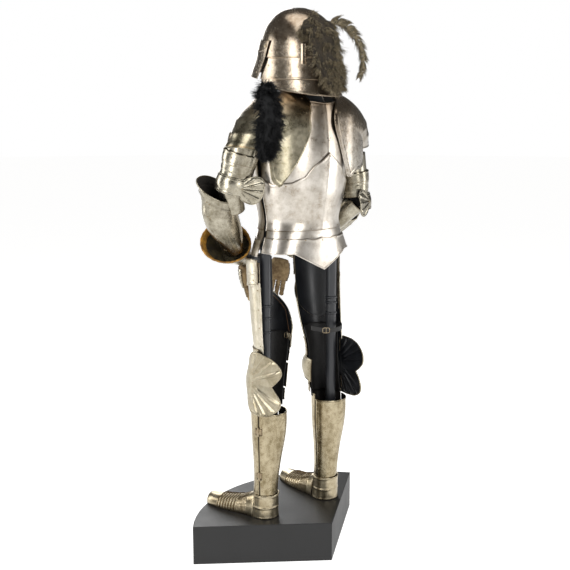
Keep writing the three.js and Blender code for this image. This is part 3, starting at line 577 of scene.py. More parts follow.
def visor(u, v):
    slant = 4 + 18 * (1 - v)
    degrees = lerp(slant - 180, -slant, u)
    bottom, top = curve(VISOR_LOW, degrees), VISOR_TOP - 8 * math.cos(math.radians(2 * degrees))
    z = lerp(bottom, top, v)
    keel = 3.0 * bump_line((degrees + 90) / 2.2, 1.6)
    brow = 2.2 * bump_line(z - BROW, 4) * smooth_step(-172, -150, degrees)
    brow *= 1 - smooth_step(-30, -8, degrees)
    lines = 0.9 * bump_line(z - bottom - 4, 2.4)
    return on_form(HELMET, z, degrees, 3 * LAYER + 1 + keel + brow + lines)


visor_mesh = sheet_of(visor, 120, 44)
SIGHT_LOW, SIGHT_HIGH, SIGHT_HALF = 1.7475, 1.7565, 0.075
for height in (SIGHT_LOW, SIGHT_HIGH):
    everything = visor_mesh.verts[:] + visor_mesh.edges[:] + visor_mesh.faces[:]
    bmesh.ops.bisect_plane(visor_mesh, geom=everything, plane_co=(0, 0, height), plane_no=(0, 0, 1))
slot_faces = []
for face in visor_mesh.faces:
    x, y, z = face.calc_center_median()
    if abs(x) < SIGHT_HALF and SIGHT_LOW < z < SIGHT_HIGH and y < -0.06:
        slot_faces.append(face)
bmesh.ops.delete(visor_mesh, geom=slot_faces, context="FACES")
visor_steel = [helmet_steel, forge_black]
finished(visor_mesh, "helmet_visor_plate", visor_steel, ["helmet_visor"], "visor", wall=WALL, bevel=EASED)
rolled_edges(
    "helmet_visor_edges",
    helmet_steel,
    (visor, HERE, "bottom", 90, 2.2),
    (visor, HERE, "left", 40, 1.3),
    (visor, HERE, "right", 40, 1.3),
    body="visor",
)
rivet_heads(
    "helmet_visor_bolts",
    (visor, HERE, 7.5, (0.03, 0.97), (0.86,)),
    (visor, HERE, 2.6, (0.05, 0.95), (0.16,)),
    body="visor",
)

# ---------- the cuirass ----------
# Breast and back, each of an upper and a lower plate. The lower one rises in cusps over the upper one.
TORSO = [
    # z, x, y, outer side, inner side, back, front, squareness
    (940, 0, 6, 196, 196, 134, 150, 0.7),
    (1040, 0, 6, 188, 188, 124, 140, 0.7),
    (1100, 0, 6, 174, 174, 117, 134, 0.75),
    (1150, 0, 6, 158, 158, 114, 128, 0.85),
    (1195, 0, 6, 148, 148, 116, 126, 1),
    (1240, 0, 6, 154, 154, 125, 134, 1),
    (1300, 0, 6, 168, 168, 137, 150, 1),
    (1380, 0, 6, 178, 178, 146, 166, 1),
    (1450, 0, 6, 174, 174, 147, 162, 1),
    (1520, 0, 6, 156, 156, 141, 140, 1),
    (1570, 0, 6, 128, 128, 134, 108, 1),
    (1605, 0, 6, 104, 104, 126, 88, 1),
]
BACK_CUSPS = [(3, 1345), (20, 1326), (45, 1332), (60, 1350), (70, 1385), (80, 1405), (90, 1430)]
BACK_NECK = [(3, 1440), (22, 1476), (34, 1545), (45, 1588), (90, 1588)]
BREAST_NECK = [(3, 1436), (24, 1456), (38, 1500), (52, 1560), (64, 1572), (76, 1545), (90, 1534)]


def halved(rows, middle, form=curve):
    """An edge that is the same on both sides of its middle, smooth or on straight lines."""
    return lambda degrees: form(rows, 90 - abs(degrees - middle))


def back_relief(degrees, z, above, below):
    """A groove beside the cusped edge and a faint medial ridge."""
    ridge = 0.8 * bump_line((degrees - 90) / 1.6, 1)
    return 1.0 * bump_line(below - 7, 2.5) + ridge + 0.6 * bump_line(below - 2, 2)


def neck_relief(degrees, z, above, below):
    return 2.2 * bump_line(below - 3, 2.6) + 0.8 * bump_line((degrees - 90) / 1.6, 1)


def breast_ridge(degrees, z):
    """The breast's keel, and flutes that spread from the waist."""
    keel = 4.0 * bump_line((degrees + 90) / 3.2, 1.3)
    spread = (degrees + 90) / (8 + 26 * smooth_step(1180, 1480, z))
    flutes = 1.6 * max(0, math.cos(2 * math.pi * spread)) ** 4 * (1 - smooth_step(2.2, 2.8, abs(spread)))
    return keel + flutes * smooth_step(1190, 1260, z)


def breast_low(degrees, z, above, below):
    return breast_ridge(degrees, z) * smooth_step(0, 18, below) + 1.0 * bump_line(below - 5, 2.5)


def breast_high(degrees, z, above, below):
    return 0.6 * breast_ridge(degrees, z) + 3.0 * bump_line(below - 4, 3)


back_up = plate(TORSO, 3, 177, 1300, halved(BACK_NECK, 90), 0, neck_relief)
back_low = plate(TORSO, 3, 177, 1168, halved(BACK_CUSPS, 90, on_lines), LAYER, back_relief)
breast_up = plate(TORSO, -177, -3, 1300, halved(BREAST_NECK, -90), 0, breast_high)
breast_down = plate(
    TORSO, -177, -3, 1168, lambda d: 1330 + 100 * (1 - abs(d + 90) / 87) ** 2, LAYER, breast_low
)
plate_piece("backplate_upper_plate", back_up, 110, 60, back_steel, "backplate_upper")
plate_piece("backplate_lower_plate", back_low, 140, 60, back_steel, "backplate_lower")
plate_piece("breastplate_upper_plate", breast_up, 130, 60, back_steel, "breastplate_upper")
plate_piece("breastplate_lower_plate", breast_down, 130, 50, back_steel, "breastplate_lower")
rolled_edges(
    "cuirass_rolled_edges",
    back_steel,
    (back_up, HERE, "top", 90, 2.8),
    (breast_up, HERE, "top", 90, 4.0),
    (back_low, HERE, "left", 30, 1.6),
    (back_low, HERE, "right", 30, 1.6),
)
rivet_heads(
    "cuirass_rivets",
    (back_low, HERE, 3.4, (0.5,), (0.95,)),
    (back_low, HERE, 2.6, (0.2, 0.8), (0.94,)),
    (back_low, HERE, 2.6, (0.1, 0.3, 0.7, 0.9), (0.05,)),
    (breast_down, HERE, 3.4, (0.5,), (0.94,)),
    (back_up, HERE, 2.6, (0.36, 0.64), (0.9,)),
)

# Three small holes for lace sit high on the back. Their near-black discs are painted shade for the holes.
lace, tree, shader, place = new_material("painted_shade_of_a_lace_hole")
hole_mottle = add_node(tree, "TexNoise", {"Vector": place, "Scale": 700.0})
shade = add_node(tree, "ValToRGB", {"Fac": hole_mottle}, ramp=((0.0, "0b0907"), (1.0, "2a1d12")))
set_inputs(tree, shader, {"Base Color": shade, "Roughness": 0.9})
LACE_HOLES = ((0.488, 0.61), (0.512, 0.61), (0.5, 0.585))
holes = rivets([spot(back_up, u, v) for u, v in LACE_HOLES], 2.2, height=0.2)
finished(holes, "cuirass_lace_holes", [lace])


# ---------- the culet and the faulds ----------
# Two lames hang from the waist at the back, the lower one drawn to a point, and two in front.
def cusped(degrees, z, above, below):
    """Two fine lines along the top edge and a turned bottom edge."""
    return 0.8 * bump_line(below - 4, 1.8) + 0.5 * bump_line(above - 5, 2.5)


def lobes_of(z, depth):
    """A lame's top edge with three small cusps at the middle of the back."""

    def edge(degrees):
        lobes = abs(math.sin(math.radians((degrees - 90) * 9)))
        return z - depth * lobes * bump_line(degrees - 90, 28)

    return edge


def culet_end(degrees):
    return 1036 + 60 * min(abs(math.cos(math.radians(degrees))) ** 0.7 / 0.66, 1)


culet_1 = plate(TORSO, 3, 177, 1136, lobes_of(1180, 5), 0, cusped)
culet_2 = plate(TORSO, 3, 177, culet_end, lobes_of(1146, 6), LAYER, cusped)
fauld_1 = plate(TORSO, -177, -3, 1126, 1180, 0, cusped)
fauld_2 = plate(TORSO, -177, -3, 1082, 1138, LAYER, cusped)
for name, face in (("culet_1", culet_1), ("culet_2", culet_2), ("fauld_1", fauld_1), ("fauld_2", fauld_2)):
    plate_piece(f"{name}_plate", face, 150, 24, back_steel, name)
rolled_edges(
    "skirt_rolled_edges",
    back_steel,
    (culet_2, HERE, "bottom", 120, 2.2),
    (fauld_2, HERE, "bottom", 120, 2.2),
    (culet_2, HERE, "left", 30, 1.6),
    (culet_2, HERE, "right", 30, 1.6),
)
rivet_heads(
    "skirt_rivets",
    (culet_1, HERE, 2.8, (0.38, 0.5, 0.62), (0.86,)),
    (culet_2, HERE, 2.8, (0.08, 0.38, 0.5, 0.62, 0.92), (0.9,)),
    (fauld_1, HERE, 2.6, (0.1, 0.5, 0.9), (0.8,)),
    (fauld_2, HERE, 2.6, (0.1, 0.5, 0.9), (0.85,)),
)


# ---------- both sides ----------
# The arms and legs are made once for the left side. The right side mirrors them, in its own pose.
def frame_between(low, high, outward, parent=Matrix()):
    """A place whose +Z runs from low to high, in millimetres, and whose +X leans towards outward."""
    low, high, outward = Vector(low), Vector(high), Vector(outward)
    up = (high - low).normalized()
    side = (outward - up * outward.dot(up)).normalized()
    back = up.cross(side)
    turned = Matrix((side, back, up)).transposed().to_4x4()
    return parent @ Matrix.Translation(low / 1000) @ turned


MIRROR = {"L": Matrix(), "R": Matrix.Diagonal((-1, 1, 1, 1))}
ANKLE = {"L": (136, -14, 0), "R": (139, 4, 0)}
FOOT_TURN = {"L": 16.2, "R": 2.3}
KNEE_TILT = {"L": 0, "R": -7}
ELBOW = {"L": (248, -46, 1312), "R": (254, 22, 1226)}
FOREARM_TOP = {"L": (288, -90, 1335), "R": (290, -16, 1250)}
SHOULDER, WRIST = (214, 8, 1535), (164, -149, 1080)
arm_steel = steel_finish("satin_steel_of_the_arms", "c2bcac", "6f6857", "43331f", 0.5, 0.17, 0.9)
left_pull, right_pull = ((-0.2, 0.0, 1.0), 1.48, 1.62), ((0.25, 0.1, 1.0), 1.37, 1.59)
left_tones, right_tones = ("b5ae9a", "716b58", "86602f"), ("d4cfc6", "9a9184", "5f4827")
PAULDRON_STEEL = {
    "L": steel_finish(
        "grey_steel_of_the_left_pauldron", *left_tones, 0.6, 0.2, 0.8, pull=left_pull, edge="6a4d22"
    ),
    "R": steel_finish("satin_steel_of_the_right_pauldron", *right_tones, 0.42, 0.18, 0.7, pull=right_pull),
}

# ---------- the pauldrons ----------
# Each shoulder is a dome of plate with a wing that runs back over the shoulder blade, its outer edge
# turned, and two lames marked by ridges where it runs down on to the arm.
SHOULDER_PATH = [
    # along, x, y, z, tilt, over, back, front
    (0, 0, 26, 1510, 0, 116, 136, 126),
    (30, 30, 26, 1510, 0, 115, 135, 126),
    (80, 80, 26, 1508, 4, 118, 126, 132),
    (125, 120, 26, 1504, 14, 118, 120, 132),
    (170, 162, 26, 1488, 36, 104, 108, 118),
    (205, 196, 20, 1465, 60, 86, 94, 96),
    (240, 220, 6, 1425, 72, 80, 84, 82),
]
BACK_DROP, FRONT_DROP = {"L": 148, "R": 160}, 110
WING_INNER = {
    "L": [
        (-106, 140), (-90, 124), (-45, 92), (0, 70), (30, 54), (45, 56), (70, 72), (90, 76),
        (106, 83), (126, 100), (146, 122), (164, 152), (180, 184),
    ],
    "R": [
        (-106, 140), (-90, 124), (-45, 92), (0, 74), (30, 66), (45, 54), (60, 34), (75, 27),
        (90, 29), (115, 48), (150, 75), (180, 98),
    ],
}
WING_OUTER = {
    "L": [
        (-106, 200), (-90, 220), (-60, 238), (60, 238), (90, 232), (117, 228), (148, 222),
        (163, 214), (180, 198),
    ],
    "R": [
        (-106, 200), (-90, 220), (-60, 238), (60, 238), (90, 232), (117, 224), (148, 190),
        (164, 146), (180, 108),
    ],
}


def on_shoulder(along, degrees, lift, back_drop):
    tilt = math.radians(smooth(SHOULDER_PATH, along, 4))
    over = Vector((math.sin(tilt), 0, math.cos(tilt)))
    arc = min(max(degrees, -90), 90)
    beyond = abs(degrees - arc) / 90
    deep = smooth(SHOULDER_PATH, along, 6 if arc > 0 else 7) + lift
    drop = beyond * (back_drop if arc > 0 else FRONT_DROP)
    middle = Vector([smooth(SHOULDER_PATH, along, column) for column in (1, 2, 3)])
    middle += over * (math.cos(math.radians(arc)) * (smooth(SHOULDER_PATH, along, 5) + lift))
    return middle + Vector((0, math.sin(math.radians(arc)) * deep, -drop))


def pauldron_of(side):
    """A dome whose wing differs between the sides. Its edge over the spine is turned in to the backplate."""

    def face(u, v):
        degrees = lerp(-106, 180, v)
        inner, outer = curve(WING_INNER[side], degrees), curve(WING_OUTER[side], degrees)
        along = lerp(inner, outer, u)
        from_inner, from_outer = u * abs(outer - inner), (1 - u) * abs(outer - inner)
        raised = WALL + 1.6 * bump_line(from_inner - 7, 3) + 1.2 * bump_line(from_outer - 6, 3)
        for ridge in (26, 52):
            raised += 2.0 * bump_line(from_outer - ridge, 4.5) * (1 - smooth_step(60, 110, degrees))
        crest = bump_line((degrees - 20 - 0.2 * from_inner) / 2.4, 1.6)
        raised += 1.6 * crest * (1 - smooth_step(10, 60, from_inner))
        raised -= 9 * (1 - smooth_step(0, 9, from_inner)) * smooth_step(50, 80, degrees)
        return on_shoulder(along, degrees, raised, BACK_DROP[side])

    return face


for side, place in MIRROR.items():
    steel, pauldron = PAULDRON_STEEL[side], pauldron_of(side)
    plate_piece(f"pauldron_plate_{side}", pauldron, 60, 150, steel, f"pauldron_{side}", place)
    rolled_edges(
        f"pauldron_rolled_edges_{side}",
        steel,
        (pauldron, place, "right", 80, 2.0),
        (pauldron, place, "left", 90, 2.4),
        (pauldron, place, "top", 20, 2.2),
    )
    rivet_heads(
        f"pauldron_rivets_{side}",
        (pauldron, place, 2.5, (0.1,), (0.5, 0.6, 0.7, 0.8, 0.9, 0.96)),
        (pauldron, place, 2.8, (0.5,), (0.06, 0.2, 0.34)),
        (pauldron, place, 2.8, (0.88,), (0.14, 0.3, 0.44)),
    )

# ---------- the upper arms and couters ----------
# Lames close round the arm below the pauldron, and a couter covers the elbow with a fluted fan.
UPPER_ARM = [
    # z, x, y, outer side, inner side, back, front, squareness
    (-30, 0, 0, 54, 50, 54, 52, 1),
    (40, 0, 0, 56, 50, 56, 54, 1),
    (100, 0, 0, 60, 46, 60, 58, 1),
    (180, 0, 0, 62, 46, 62, 60, 1),
]


def upper_lame_relief(degrees, z, above, below):
    return 0.8 * bump_line(below - 4, 2.2)


def cannon_relief(degrees, z, above, below):
    """Two steps, where one lame slides over the next."""
    return 1.1 * (smooth_step(57, 58, z) + smooth_step(79, 80, z))


FAN_FROM, FAN_TO = 80, 130  # the degrees round the elbow between which the fan spreads


def couter(u, v):
    degrees = lerp(-110, FAN_TO, u)
    reach = max(degrees - FAN_FROM, 0) / (FAN_TO - FAN_FROM)
    across = 2 * v - 1
    half = lerp(28, 56, math.sqrt(reach)) * math.sqrt(1 - 0.8 * reach**4)
    z = lerp(14, 18, reach) + half * across
    # The flutes of the fan spread from a hub behind the elbow.
    angle = math.degrees(math.atan2(half * across, 60 * reach + 16))
    rays = 3.6 * max(0, math.cos(math.radians(angle * 360 / 22))) ** 1.5 * smooth_step(70, 92, degrees)
    rays *= min(1, 6 * (1 - abs(across)), 5 * (1 - reach) + 0.2)
    border = 1.2 * bump_line((1 - abs(across)) * half - 5, 2.5)
    lift = LAYER + 5 - 5 * across**2 + rays + border
    point = on_form(UPPER_ARM, z * 0.5, min(degrees, FAN_FROM), lift)
    point.z = z
    return point + Vector((-66 * reach, 26 * reach, 0))


def round_band(form, low, high, lift=0.0, relief=None):
    return plate(form, 0, 360, low, high, lift, relief)


HIDDEN_TOP = {"L": 176, "R": 188}  # how far up the arm its highest lame reaches
for side, body in MIRROR.items():
    arm = frame_between(ELBOW[side], SHOULDER, (1, 0, 0), body)
    lame = round_band(UPPER_ARM, 88, 124, LAYER, upper_lame_relief)
    cannon = round_band(UPPER_ARM, 38, 104, 0, cannon_relief)
    plate_piece(f"upper_arm_lame_plate_{side}", lame, 72, 20, arm_steel, f"upper_arm_lame_{side}", arm)
    plate_piece(f"upper_cannon_plate_{side}", cannon, 72, 36, arm_steel, f"upper_cannon_{side}", arm)
    plate_piece(f"couter_plate_{side}", couter, 110, 60, arm_steel, f"couter_{side}", arm)
    # One more lame slides up under the pauldron.
    hidden_lame = round_band(UPPER_ARM, 112, HIDDEN_TOP[side], -WALL - 0.8)
    plate_piece(f"shoulder_inner_lame_{side}", hidden_lame, 72, 12, arm_steel, place=arm)
    rolled_edges(
        f"couter_rolled_edges_{side}",
        arm_steel,
        (couter, arm, "bottom", 60, 1.8),
        (couter, arm, "top", 60, 1.8),
        (couter, arm, "right", 30, 2.0),
        (couter, arm, "left", 20, 1.8),
    )
    rivet_heads(
        f"upper_arm_rivets_{side}",
        (couter, arm, 3.2, (0.08, 0.78), (0.5,)),
        (cannon, arm, 2.4, (0.02, 0.25, 0.5, 0.75), (0.9,)),
        (lame, arm, 2.4, (0.06, 0.3, 0.56, 0.8), (0.5,)),
    )

# ---------- the lower cannons ----------
# Each forearm lies in a tube of plate that flares to a wide slanting mouth at the elbow.
FOREARM = same_sides(
    [
        # z, x, y, side, back, front
        (0, 0, 0, 35, 34, 34),
        (40, 2, 0, 43, 42, 42),
        (90, 8, 0, 54, 50, 50),
        (140, 14, 0, 60, 54, 54),
        (190, 15, 0, 60, 55, 55),
        (240, 7, 0, 56, 52, 52),
        (300, 0, 0, 62, 56, 56),
    ]
)
# A lame below the couter slides inside the cannon's mouth, from which its own heights are counted down.
SLIDES = [(-120, -26, 30, 38, 36, 38, 38, 1), (60, -30, 34, 44, 40, 42, 42, 1)]


def forearm_relief(degrees, z, above, below):
    seam = -1.2 * bump_line((degrees - 20) / 1.5, 1) - 1.2 * bump_line((degrees - 200) / 1.5, 1)
    ridge = 2.4 * bump_line((degrees - 65) / 4, 1.2) * smooth_step(20, 80, above)
    top = 1.6 * bump_line(below - 30, 2.4)
    return seam + ridge + top + 1.0 * bump_line(below - 4, 2.2) + 0.9 * bump_line(above - 5, 2)


def slanted(middle, swing, turn):
    """An edge that lies aslant round an arm: its middle height, its swing, and where it is highest."""
    return lambda degrees: middle + swing * math.cos(math.radians(degrees + turn))


for side, body in MIRROR.items():
    arm = frame_between(WRIST, FOREARM_TOP[side], (1, 0, 0), body)
    length = (Vector(FOREARM_TOP[side]) - Vector(WRIST)).length
    tube = round_band(FOREARM, 4, slanted(length - 30, 46, 45), 0, forearm_relief)
    plate_piece(f"lower_cannon_plate_{side}", tube, 96, 80, arm_steel, f"lower_cannon_{side}", arm)
    rolled_edges(f"lower_cannon_rolled_edge_{side}", arm_steel, (tube, arm, "top", 90, 2.2))
    seam_rivets = (tube, arm, 2.6, (25 / 360, 15 / 360), (0.12, 0.4, 0.68, 0.86))
    rivet_heads(f"lower_cannon_rivets_{side}", seam_rivets)
    slides = [(length + z, *rest) for z, *rest in SLIDES]
    inner = round_band(slides, length - 118, length - 8)
    plate_piece(f"elbow_lower_lame_{side}", inner, 60, 30, arm_steel, place=arm)

# ---------- the gauntlets ----------
# A flared cuff lined and edged with ochre leather, lames over the back of the hand, and a leather glove.
def leather_finish(name, light, dark, gloss):
    """Vegetable-tanned leather. Its grain is about 1 mm, drawn as 3 mm so that it shows."""
    made, tree, shader, place = new_material(name)
    grain = add_node(tree, "TexVoronoi", {"Vector": place, "Scale": 340.0})
    worn = add_node(tree, "TexNoise", {"Vector": place, "Scale": 38.0, "Detail": 6.0, "Roughness": 0.65})
    tone = add_node(tree, "ValToRGB", {"Fac": worn}, ramp=((0.34, dark), (0.68, light)))
    rough = add_node(tree, "MapRange", {"Value": worn, "To Min": gloss, "To Max": gloss + 0.25})
    creases = add_node(tree, "Bump", {"Height": worn, "Strength": 0.5, "Distance": 0.003})
    rise = add_node(tree, "Bump", {"Height": grain, "Normal": creases, "Strength": 0.4, "Distance": 0.0006})
    set_inputs(tree, shader, {"Base Color": tone, "Roughness": rough, "Normal": rise})
    return made


ochre_leather = leather_finish("ochre_calf_leather", "b5842f", "5d3f17", 0.55)
glove_leather = leather_finish("brown_buckskin", "a08a66", "4f3a24", 0.75)
cuff_lining = leather_finish("dark_lining_leather", "4a4126", "1d1810", 0.6)
CUFF_WRIST, CUFF_RIM = (93, -184, 1050), (226, -132, 1140)
KNUCKLES, HAND_WRIST = (72, -194, 962), (92, -188, 1048)
CUFF = same_sides(
    [
        # z, x, y, side, back, front
        (-30, 0, 0, 38, 40, 40),
        (10, 0, 0, 38, 41, 41),
        (60, 0, 0, 54, 55, 55),
        (110, 0, 0, 74, 74, 74),
        (180, 0, 0, 90, 88, 88),
    ]
)
HAND = same_sides(
    [(-10, 0, 0, 17, 40, 40), (20, 0, 0, 22, 42, 42), (44, 0, 0, 22, 37, 37), (62, 0, 0, 20, 31, 31)]
)
FINGERS = (-28, -10, 9, 27)  # where each lies across the hand


def cuff_relief(degrees, z, above, below):
    ridge = 1.8 * bump_line((degrees % 60 - 30) / 3, 1.2) * smooth_step(10, 60, above)
    ridge *= smooth_step(4, 30, below)
    return ridge + 1.0 * bump_line(above - 12, 2.4) + 1.4 * bump_line(below - 16, 2.4)


def hand_relief(degrees, z, above, below):
    laps = sum(1.2 * bump_line(z - lap, 2.0) for lap in (2, 18, 34, 48))
    return laps + 1.2 * bump_line(degrees / 9, 1)


def glove_palm(u, v):
    height = lerp(-10, 62, min(max((v - 0.1) / 0.8, 0), 1))
    point = on_form(HAND, height, 360 * u, -1)
    middle = Vector((0, 0, height))
    closing = max(0.1 - v, v - 0.9, 0) / 0.1
    puff = Vector((0, 0, 6 * closing * (-1 if v < 0.5 else 1)))
    return middle.lerp(point, math.sqrt(max(1 - closing**2, 0))) + puff


def wrist(u, v):
    """The glove's soft wrist, gathered inside the cuff."""
    edge = on_form(CUFF, 62, 360 * u, -WALL - 1.2)
    gathers = 1.5 * math.sin(18 * 2 * math.pi * u) * math.sin(math.pi * v)
    return edge.lerp(Vector((0, 0, 44)), v) + Vector((0, 0, gathers))


def puckered(share):
    """The radius of a cuff's piping, drawn in by its stitches."""
    return 3.3 + 0.5 * math.sin(160 * share)


def finger_scale(middle):
    """One of the small overlapping scales down the back of a finger."""

    def face(u, v):
        turn = math.radians(lerp(-74, 74, u))
        reach = 8.5 + 1.2 * v
        return middle + Vector((reach * math.cos(turn) - 5, reach * math.sin(turn), 12 * v))

    return face


for side, body in MIRROR.items():
    cuff_place = frame_between(CUFF_WRIST, CUFF_RIM, (1, 0, 0), body)
    hand_place = frame_between(KNUCKLES, HAND_WRIST, (0.6, -0.8, 0), body)
    cuff = round_band(CUFF, slanted(6, 20, 0), slanted(124, 42, 40), 0, cuff_relief)
    welt = round_band(CUFF, slanted(100, 42, 40), slanted(123, 42, 40), -WALL - 0.4)
    back_of_hand = plate(HAND, -78, 78, -14, 56, 3.2, hand_relief)
    cuff_name, hand_name = f"gauntlet_cuff_plate_{side}", f"gauntlet_hand_plate_{side}"
    plate_piece(cuff_name, cuff, 108, 60, arm_steel, f"gauntlet_cuff_{side}", cuff_place, cuff_lining)
    piping = rod(edge_path(cuff, "top", 110), puckered, place=cuff_place)
    finished(piping, f"gauntlet_cuff_piping_{side}", [ochre_leather])
    for name, face, rows, leather in (
        ("gauntlet_cuff_welt", welt, 8, ochre_leather),
        ("gauntlet_wrist", wrist, 14, cuff_lining),
    ):
        finished(sheet_of(face, 108, rows, cuff_place), f"{name}_{side}", [leather], wall=1.2)
    plate_piece(hand_name, back_of_hand, 48, 70, arm_steel, f"gauntlet_hand_{side}", hand_place)
    rivet_heads(
        f"gauntlet_rivets_{side}",
        (cuff, cuff_place, 2.2, [i / 14 for i in range(14)], (0.93,)),
        (back_of_hand, hand_place, 2.0, (0.1, 0.9), (0.15, 0.4, 0.64, 0.86)),
    )
    glove = sheet_of(glove_palm, 32, 24, hand_place)
    scales = None
    for i, y in enumerate(FINGERS):
        reach = -66 - 8 * math.sin(i + 0.6)
        steps = [k / 8 for k in range(9)]
        bend = [Vector((-10 * s * s, y * (1 + 0.05 * s), 6 + (reach - 6) * s)) for s in steps]
        glove = rod(bend, lambda share: 8.2 + 0.7 * math.cos(6 * math.pi * share), 12, hand_place, glove)
        for k in range(5):
            middle = Vector((4.5 - 6 * (k / 5) ** 2, y * (1 + 0.01 * k), -14 - 9.5 * k))
            scales = sheet_of(finger_scale(middle), 8, 3, hand_place, scales)
    thumb = [Vector((-4 - 16 * s, -30 - 16 * math.sqrt(s), 34 - 48 * s)) for s in [k / 6 for k in range(7)]]
    glove = rod(thumb, lambda share: 9.4 - 1.2 * share, 12, hand_place, glove)
    finished(glove, f"leather_glove_{side}", [glove_leather], [f"glove_{side}"])
    finished(scales, f"gauntlet_finger_scales_{side}", [arm_steel, forge_black], wall=0.9)

# ---------- the cuisses and tassets ----------
# The thigh defences are open at the back. Outside they are satin steel, inside they are painted black.
# A strap with a buckle closes the right one behind the thigh, and hangs loose from the left one.
thigh_steel = steel_finish("satin_steel_of_the_legs", "d3cdbf", "a0977f", "6d5638", 0.42, 0.24, 0.9)
black_paint = inside_paint("black_lacquer_inside_the_legs", "0b0c0f", "17191d", 0.26)
LEG = [
    # z, x, y, outer side, inner side, back, front, squareness
    (530, -5, 12, 66, 64, 64, 66, 1),
    (590, -9, 12, 66, 63, 64, 70, 1),
    (640, -14, 12, 66, 64, 66, 74, 1),
    (690, -20, 14, 66, 65, 68, 72, 1),
    (740, -24, 16, 68, 68, 70, 74, 1),
    (820, -32, 8, 76, 76, 78, 82, 1),
    (920, -40, 0, 84, 82, 86, 90, 1),
    (1000, -42, -4, 88, 82, 88, 94, 1),
    (1120, -44, -6, 92, 82, 90, 98, 1),
]
CUISSE_TOP = [(-188, 822), (-170, 872), (-140, 920), (-100, 968), (16, 990)]
TASSET_LOW = [(-120, 985), (-60, 972), (18, 985)]
INNER_LAME = [(-130, 885), (-56, 815), (-20, 840), (16, 860)]
THIGH_FROM = {"L": -188, "R": -150}
KNEE_FROM = {"L": -182, "R": -158}


def edge_of(rows):
    return lambda degrees: curve(rows, degrees)


def thigh_relief(degrees, z, above, below):
    """A turned border along the outer edge, and lines that follow the top and bottom edges."""
    border = 1.2 * bump_line(12 - degrees, 1.8)
    return border + 1.3 * bump_line(below - 8, 3) + 0.8 * bump_line(above - 5, 2.2)


def lame_border(degrees, z, above, below):
    return 1.2 * bump_line(above - 6, 3)


def tasset_relief(degrees, z, above, below):
    return 1.2 * bump_line(above - 6, 3) + 1.0 * bump_line(below - 6, 3) + 1.0 * bump_line(above - 40, 3)


def strap(points, width):
    """A flat upright strap along points in millimetres."""

    def face(u, v):
        at = u * (len(points) - 1)
        i = min(int(at), len(points) - 2)
        centre = points[i].lerp(points[i + 1], at - i)
        return centre + Vector((0, 0, width * (v - 0.5)))

    return face


def leg_place(side):
    return MIRROR[side] @ Matrix.Translation(Vector(ANKLE[side]) / 1000)


def closed_strap(share):
    """The right strap's path: its angle, height and lift at a share of its length."""
    return lerp(14, 172, share), 806 - 5 * math.sin(math.pi * share), -9


def loose_strap(share):
    """The left strap hangs loose from the inner edge."""
    return lerp(-176, -204, share), lerp(792, 758, share), -12


strap_leather = leather_finish("black_strap_leather", "1a1816", "0a0909", 0.45)
pale_strap = leather_finish("worn_alum_leather", "a39b88", "5f5646", 0.7)
brown_strap = leather_finish("brown_strap_leather", "6a4a2a", "33200f", 0.55)
STRAPS = {
    # path, leather, where the buckle sits along it
    "L": (loose_strap, pale_strap, 0.12),
    "R": (closed_strap, strap_leather, 0.7),
}
for side in "LR":
    leg = leg_place(side)
    inner = THIGH_FROM[side]
    cuisse = plate(LEG, inner, 16, 748, edge_of(CUISSE_TOP), 0, thigh_relief)
    lame = plate(LEG, -130, 14, edge_of(INNER_LAME), 1060, -LAYER, lame_border)
    tasset = plate(LEG, -118, 12, edge_of(TASSET_LOW), 1070, LAYER, tasset_relief)
    plate_piece(f"cuisse_plate_{side}", cuisse, 100, 70, thigh_steel, f"cuisse_{side}", leg, black_paint)
    upper = (f"cuisse_upper_plate_{side}", f"cuisse_upper_{side}")
    plate_piece(upper[0], lame, 70, 50, thigh_steel, upper[1], leg, black_paint)
    plate_piece(f"tasset_plate_{side}", tasset, 70, 40, thigh_steel, f"tasset_{side}", leg, black_paint)
    rolled_edges(
        f"thigh_rolled_edges_{side}",
        thigh_steel,
        (cuisse, leg, "left", 50, 2.0),
        (cuisse, leg, "right", 50, 2.0),
        (cuisse, leg, "top", 80, 1.8),
        (tasset, leg, "bottom", 60, 2.0),
    )
    rivet_heads(
        f"thigh_rivets_{side}",
        (cuisse, leg, 3.0, (0.02, 0.96), (0.1, 0.36, 0.62, 0.9)),
        (tasset, leg, 2.8, (0.08, 0.4, 0.9), (0.2,)),
    )
    # A line of piping follows the open edge of the lining, up its side and over its top.
    piping = rod([on_form(LEG, lerp(760, 800, k / 20), inner + 9, -WALL - 1) for k in range(21)], 1.1, 6, leg)
    arch = []
    for k in range(31):
        degrees = inner + 9 + 60 * k / 30
        level = lerp(800, curve(CUISSE_TOP, degrees) - 14, min(k / 8, 1))
        arch.append(on_form(LEG, level, degrees, -WALL - 1))
    piping = rod(arch, 1.1, 6, leg, piping)
    finished(piping, f"thigh_lining_piping_{side}", [brown_strap])
    path_of, leather, buckle_at = STRAPS[side]
    path = []
    for k in range(33):
        degrees, level, lift = path_of(k / 32)
        path.append(on_form(LEG, level, degrees, lift + 6 * math.sin(math.pi * k / 32)))
    band = strap(path, 16)
    belt = sheet_of(band, 64, 4, leg)
    finished(belt, f"thigh_strap_{side}", [leather], wall=2.6, bevel=0.5)
    point, outward = spot(band, buckle_at, 0.5, leg)
    turn = Matrix.Translation(point + outward * 0.003) @ outward.to_track_quat("Z", "X").to_matrix().to_4x4()
    loop = []
    for k in range(29):
        c, n = math.cos(2 * math.pi * k / 28), math.sin(2 * math.pi * k / 28)
        loop.append(Vector((9 * math.copysign(abs(c) ** 0.5, c), 12 * math.copysign(abs(n) ** 0.5, n), 0)))
    buckle = rod(loop, 1.4, 8, turn)
    tongue = [Vector((-9, 0, 0.5)), Vector((0, 0, 1.6)), Vector((10, 0, 1.0))]
    finished(rod(tongue, 1.1, 8, turn, buckle), f"thigh_buckle_{side}", [rivet_steel])

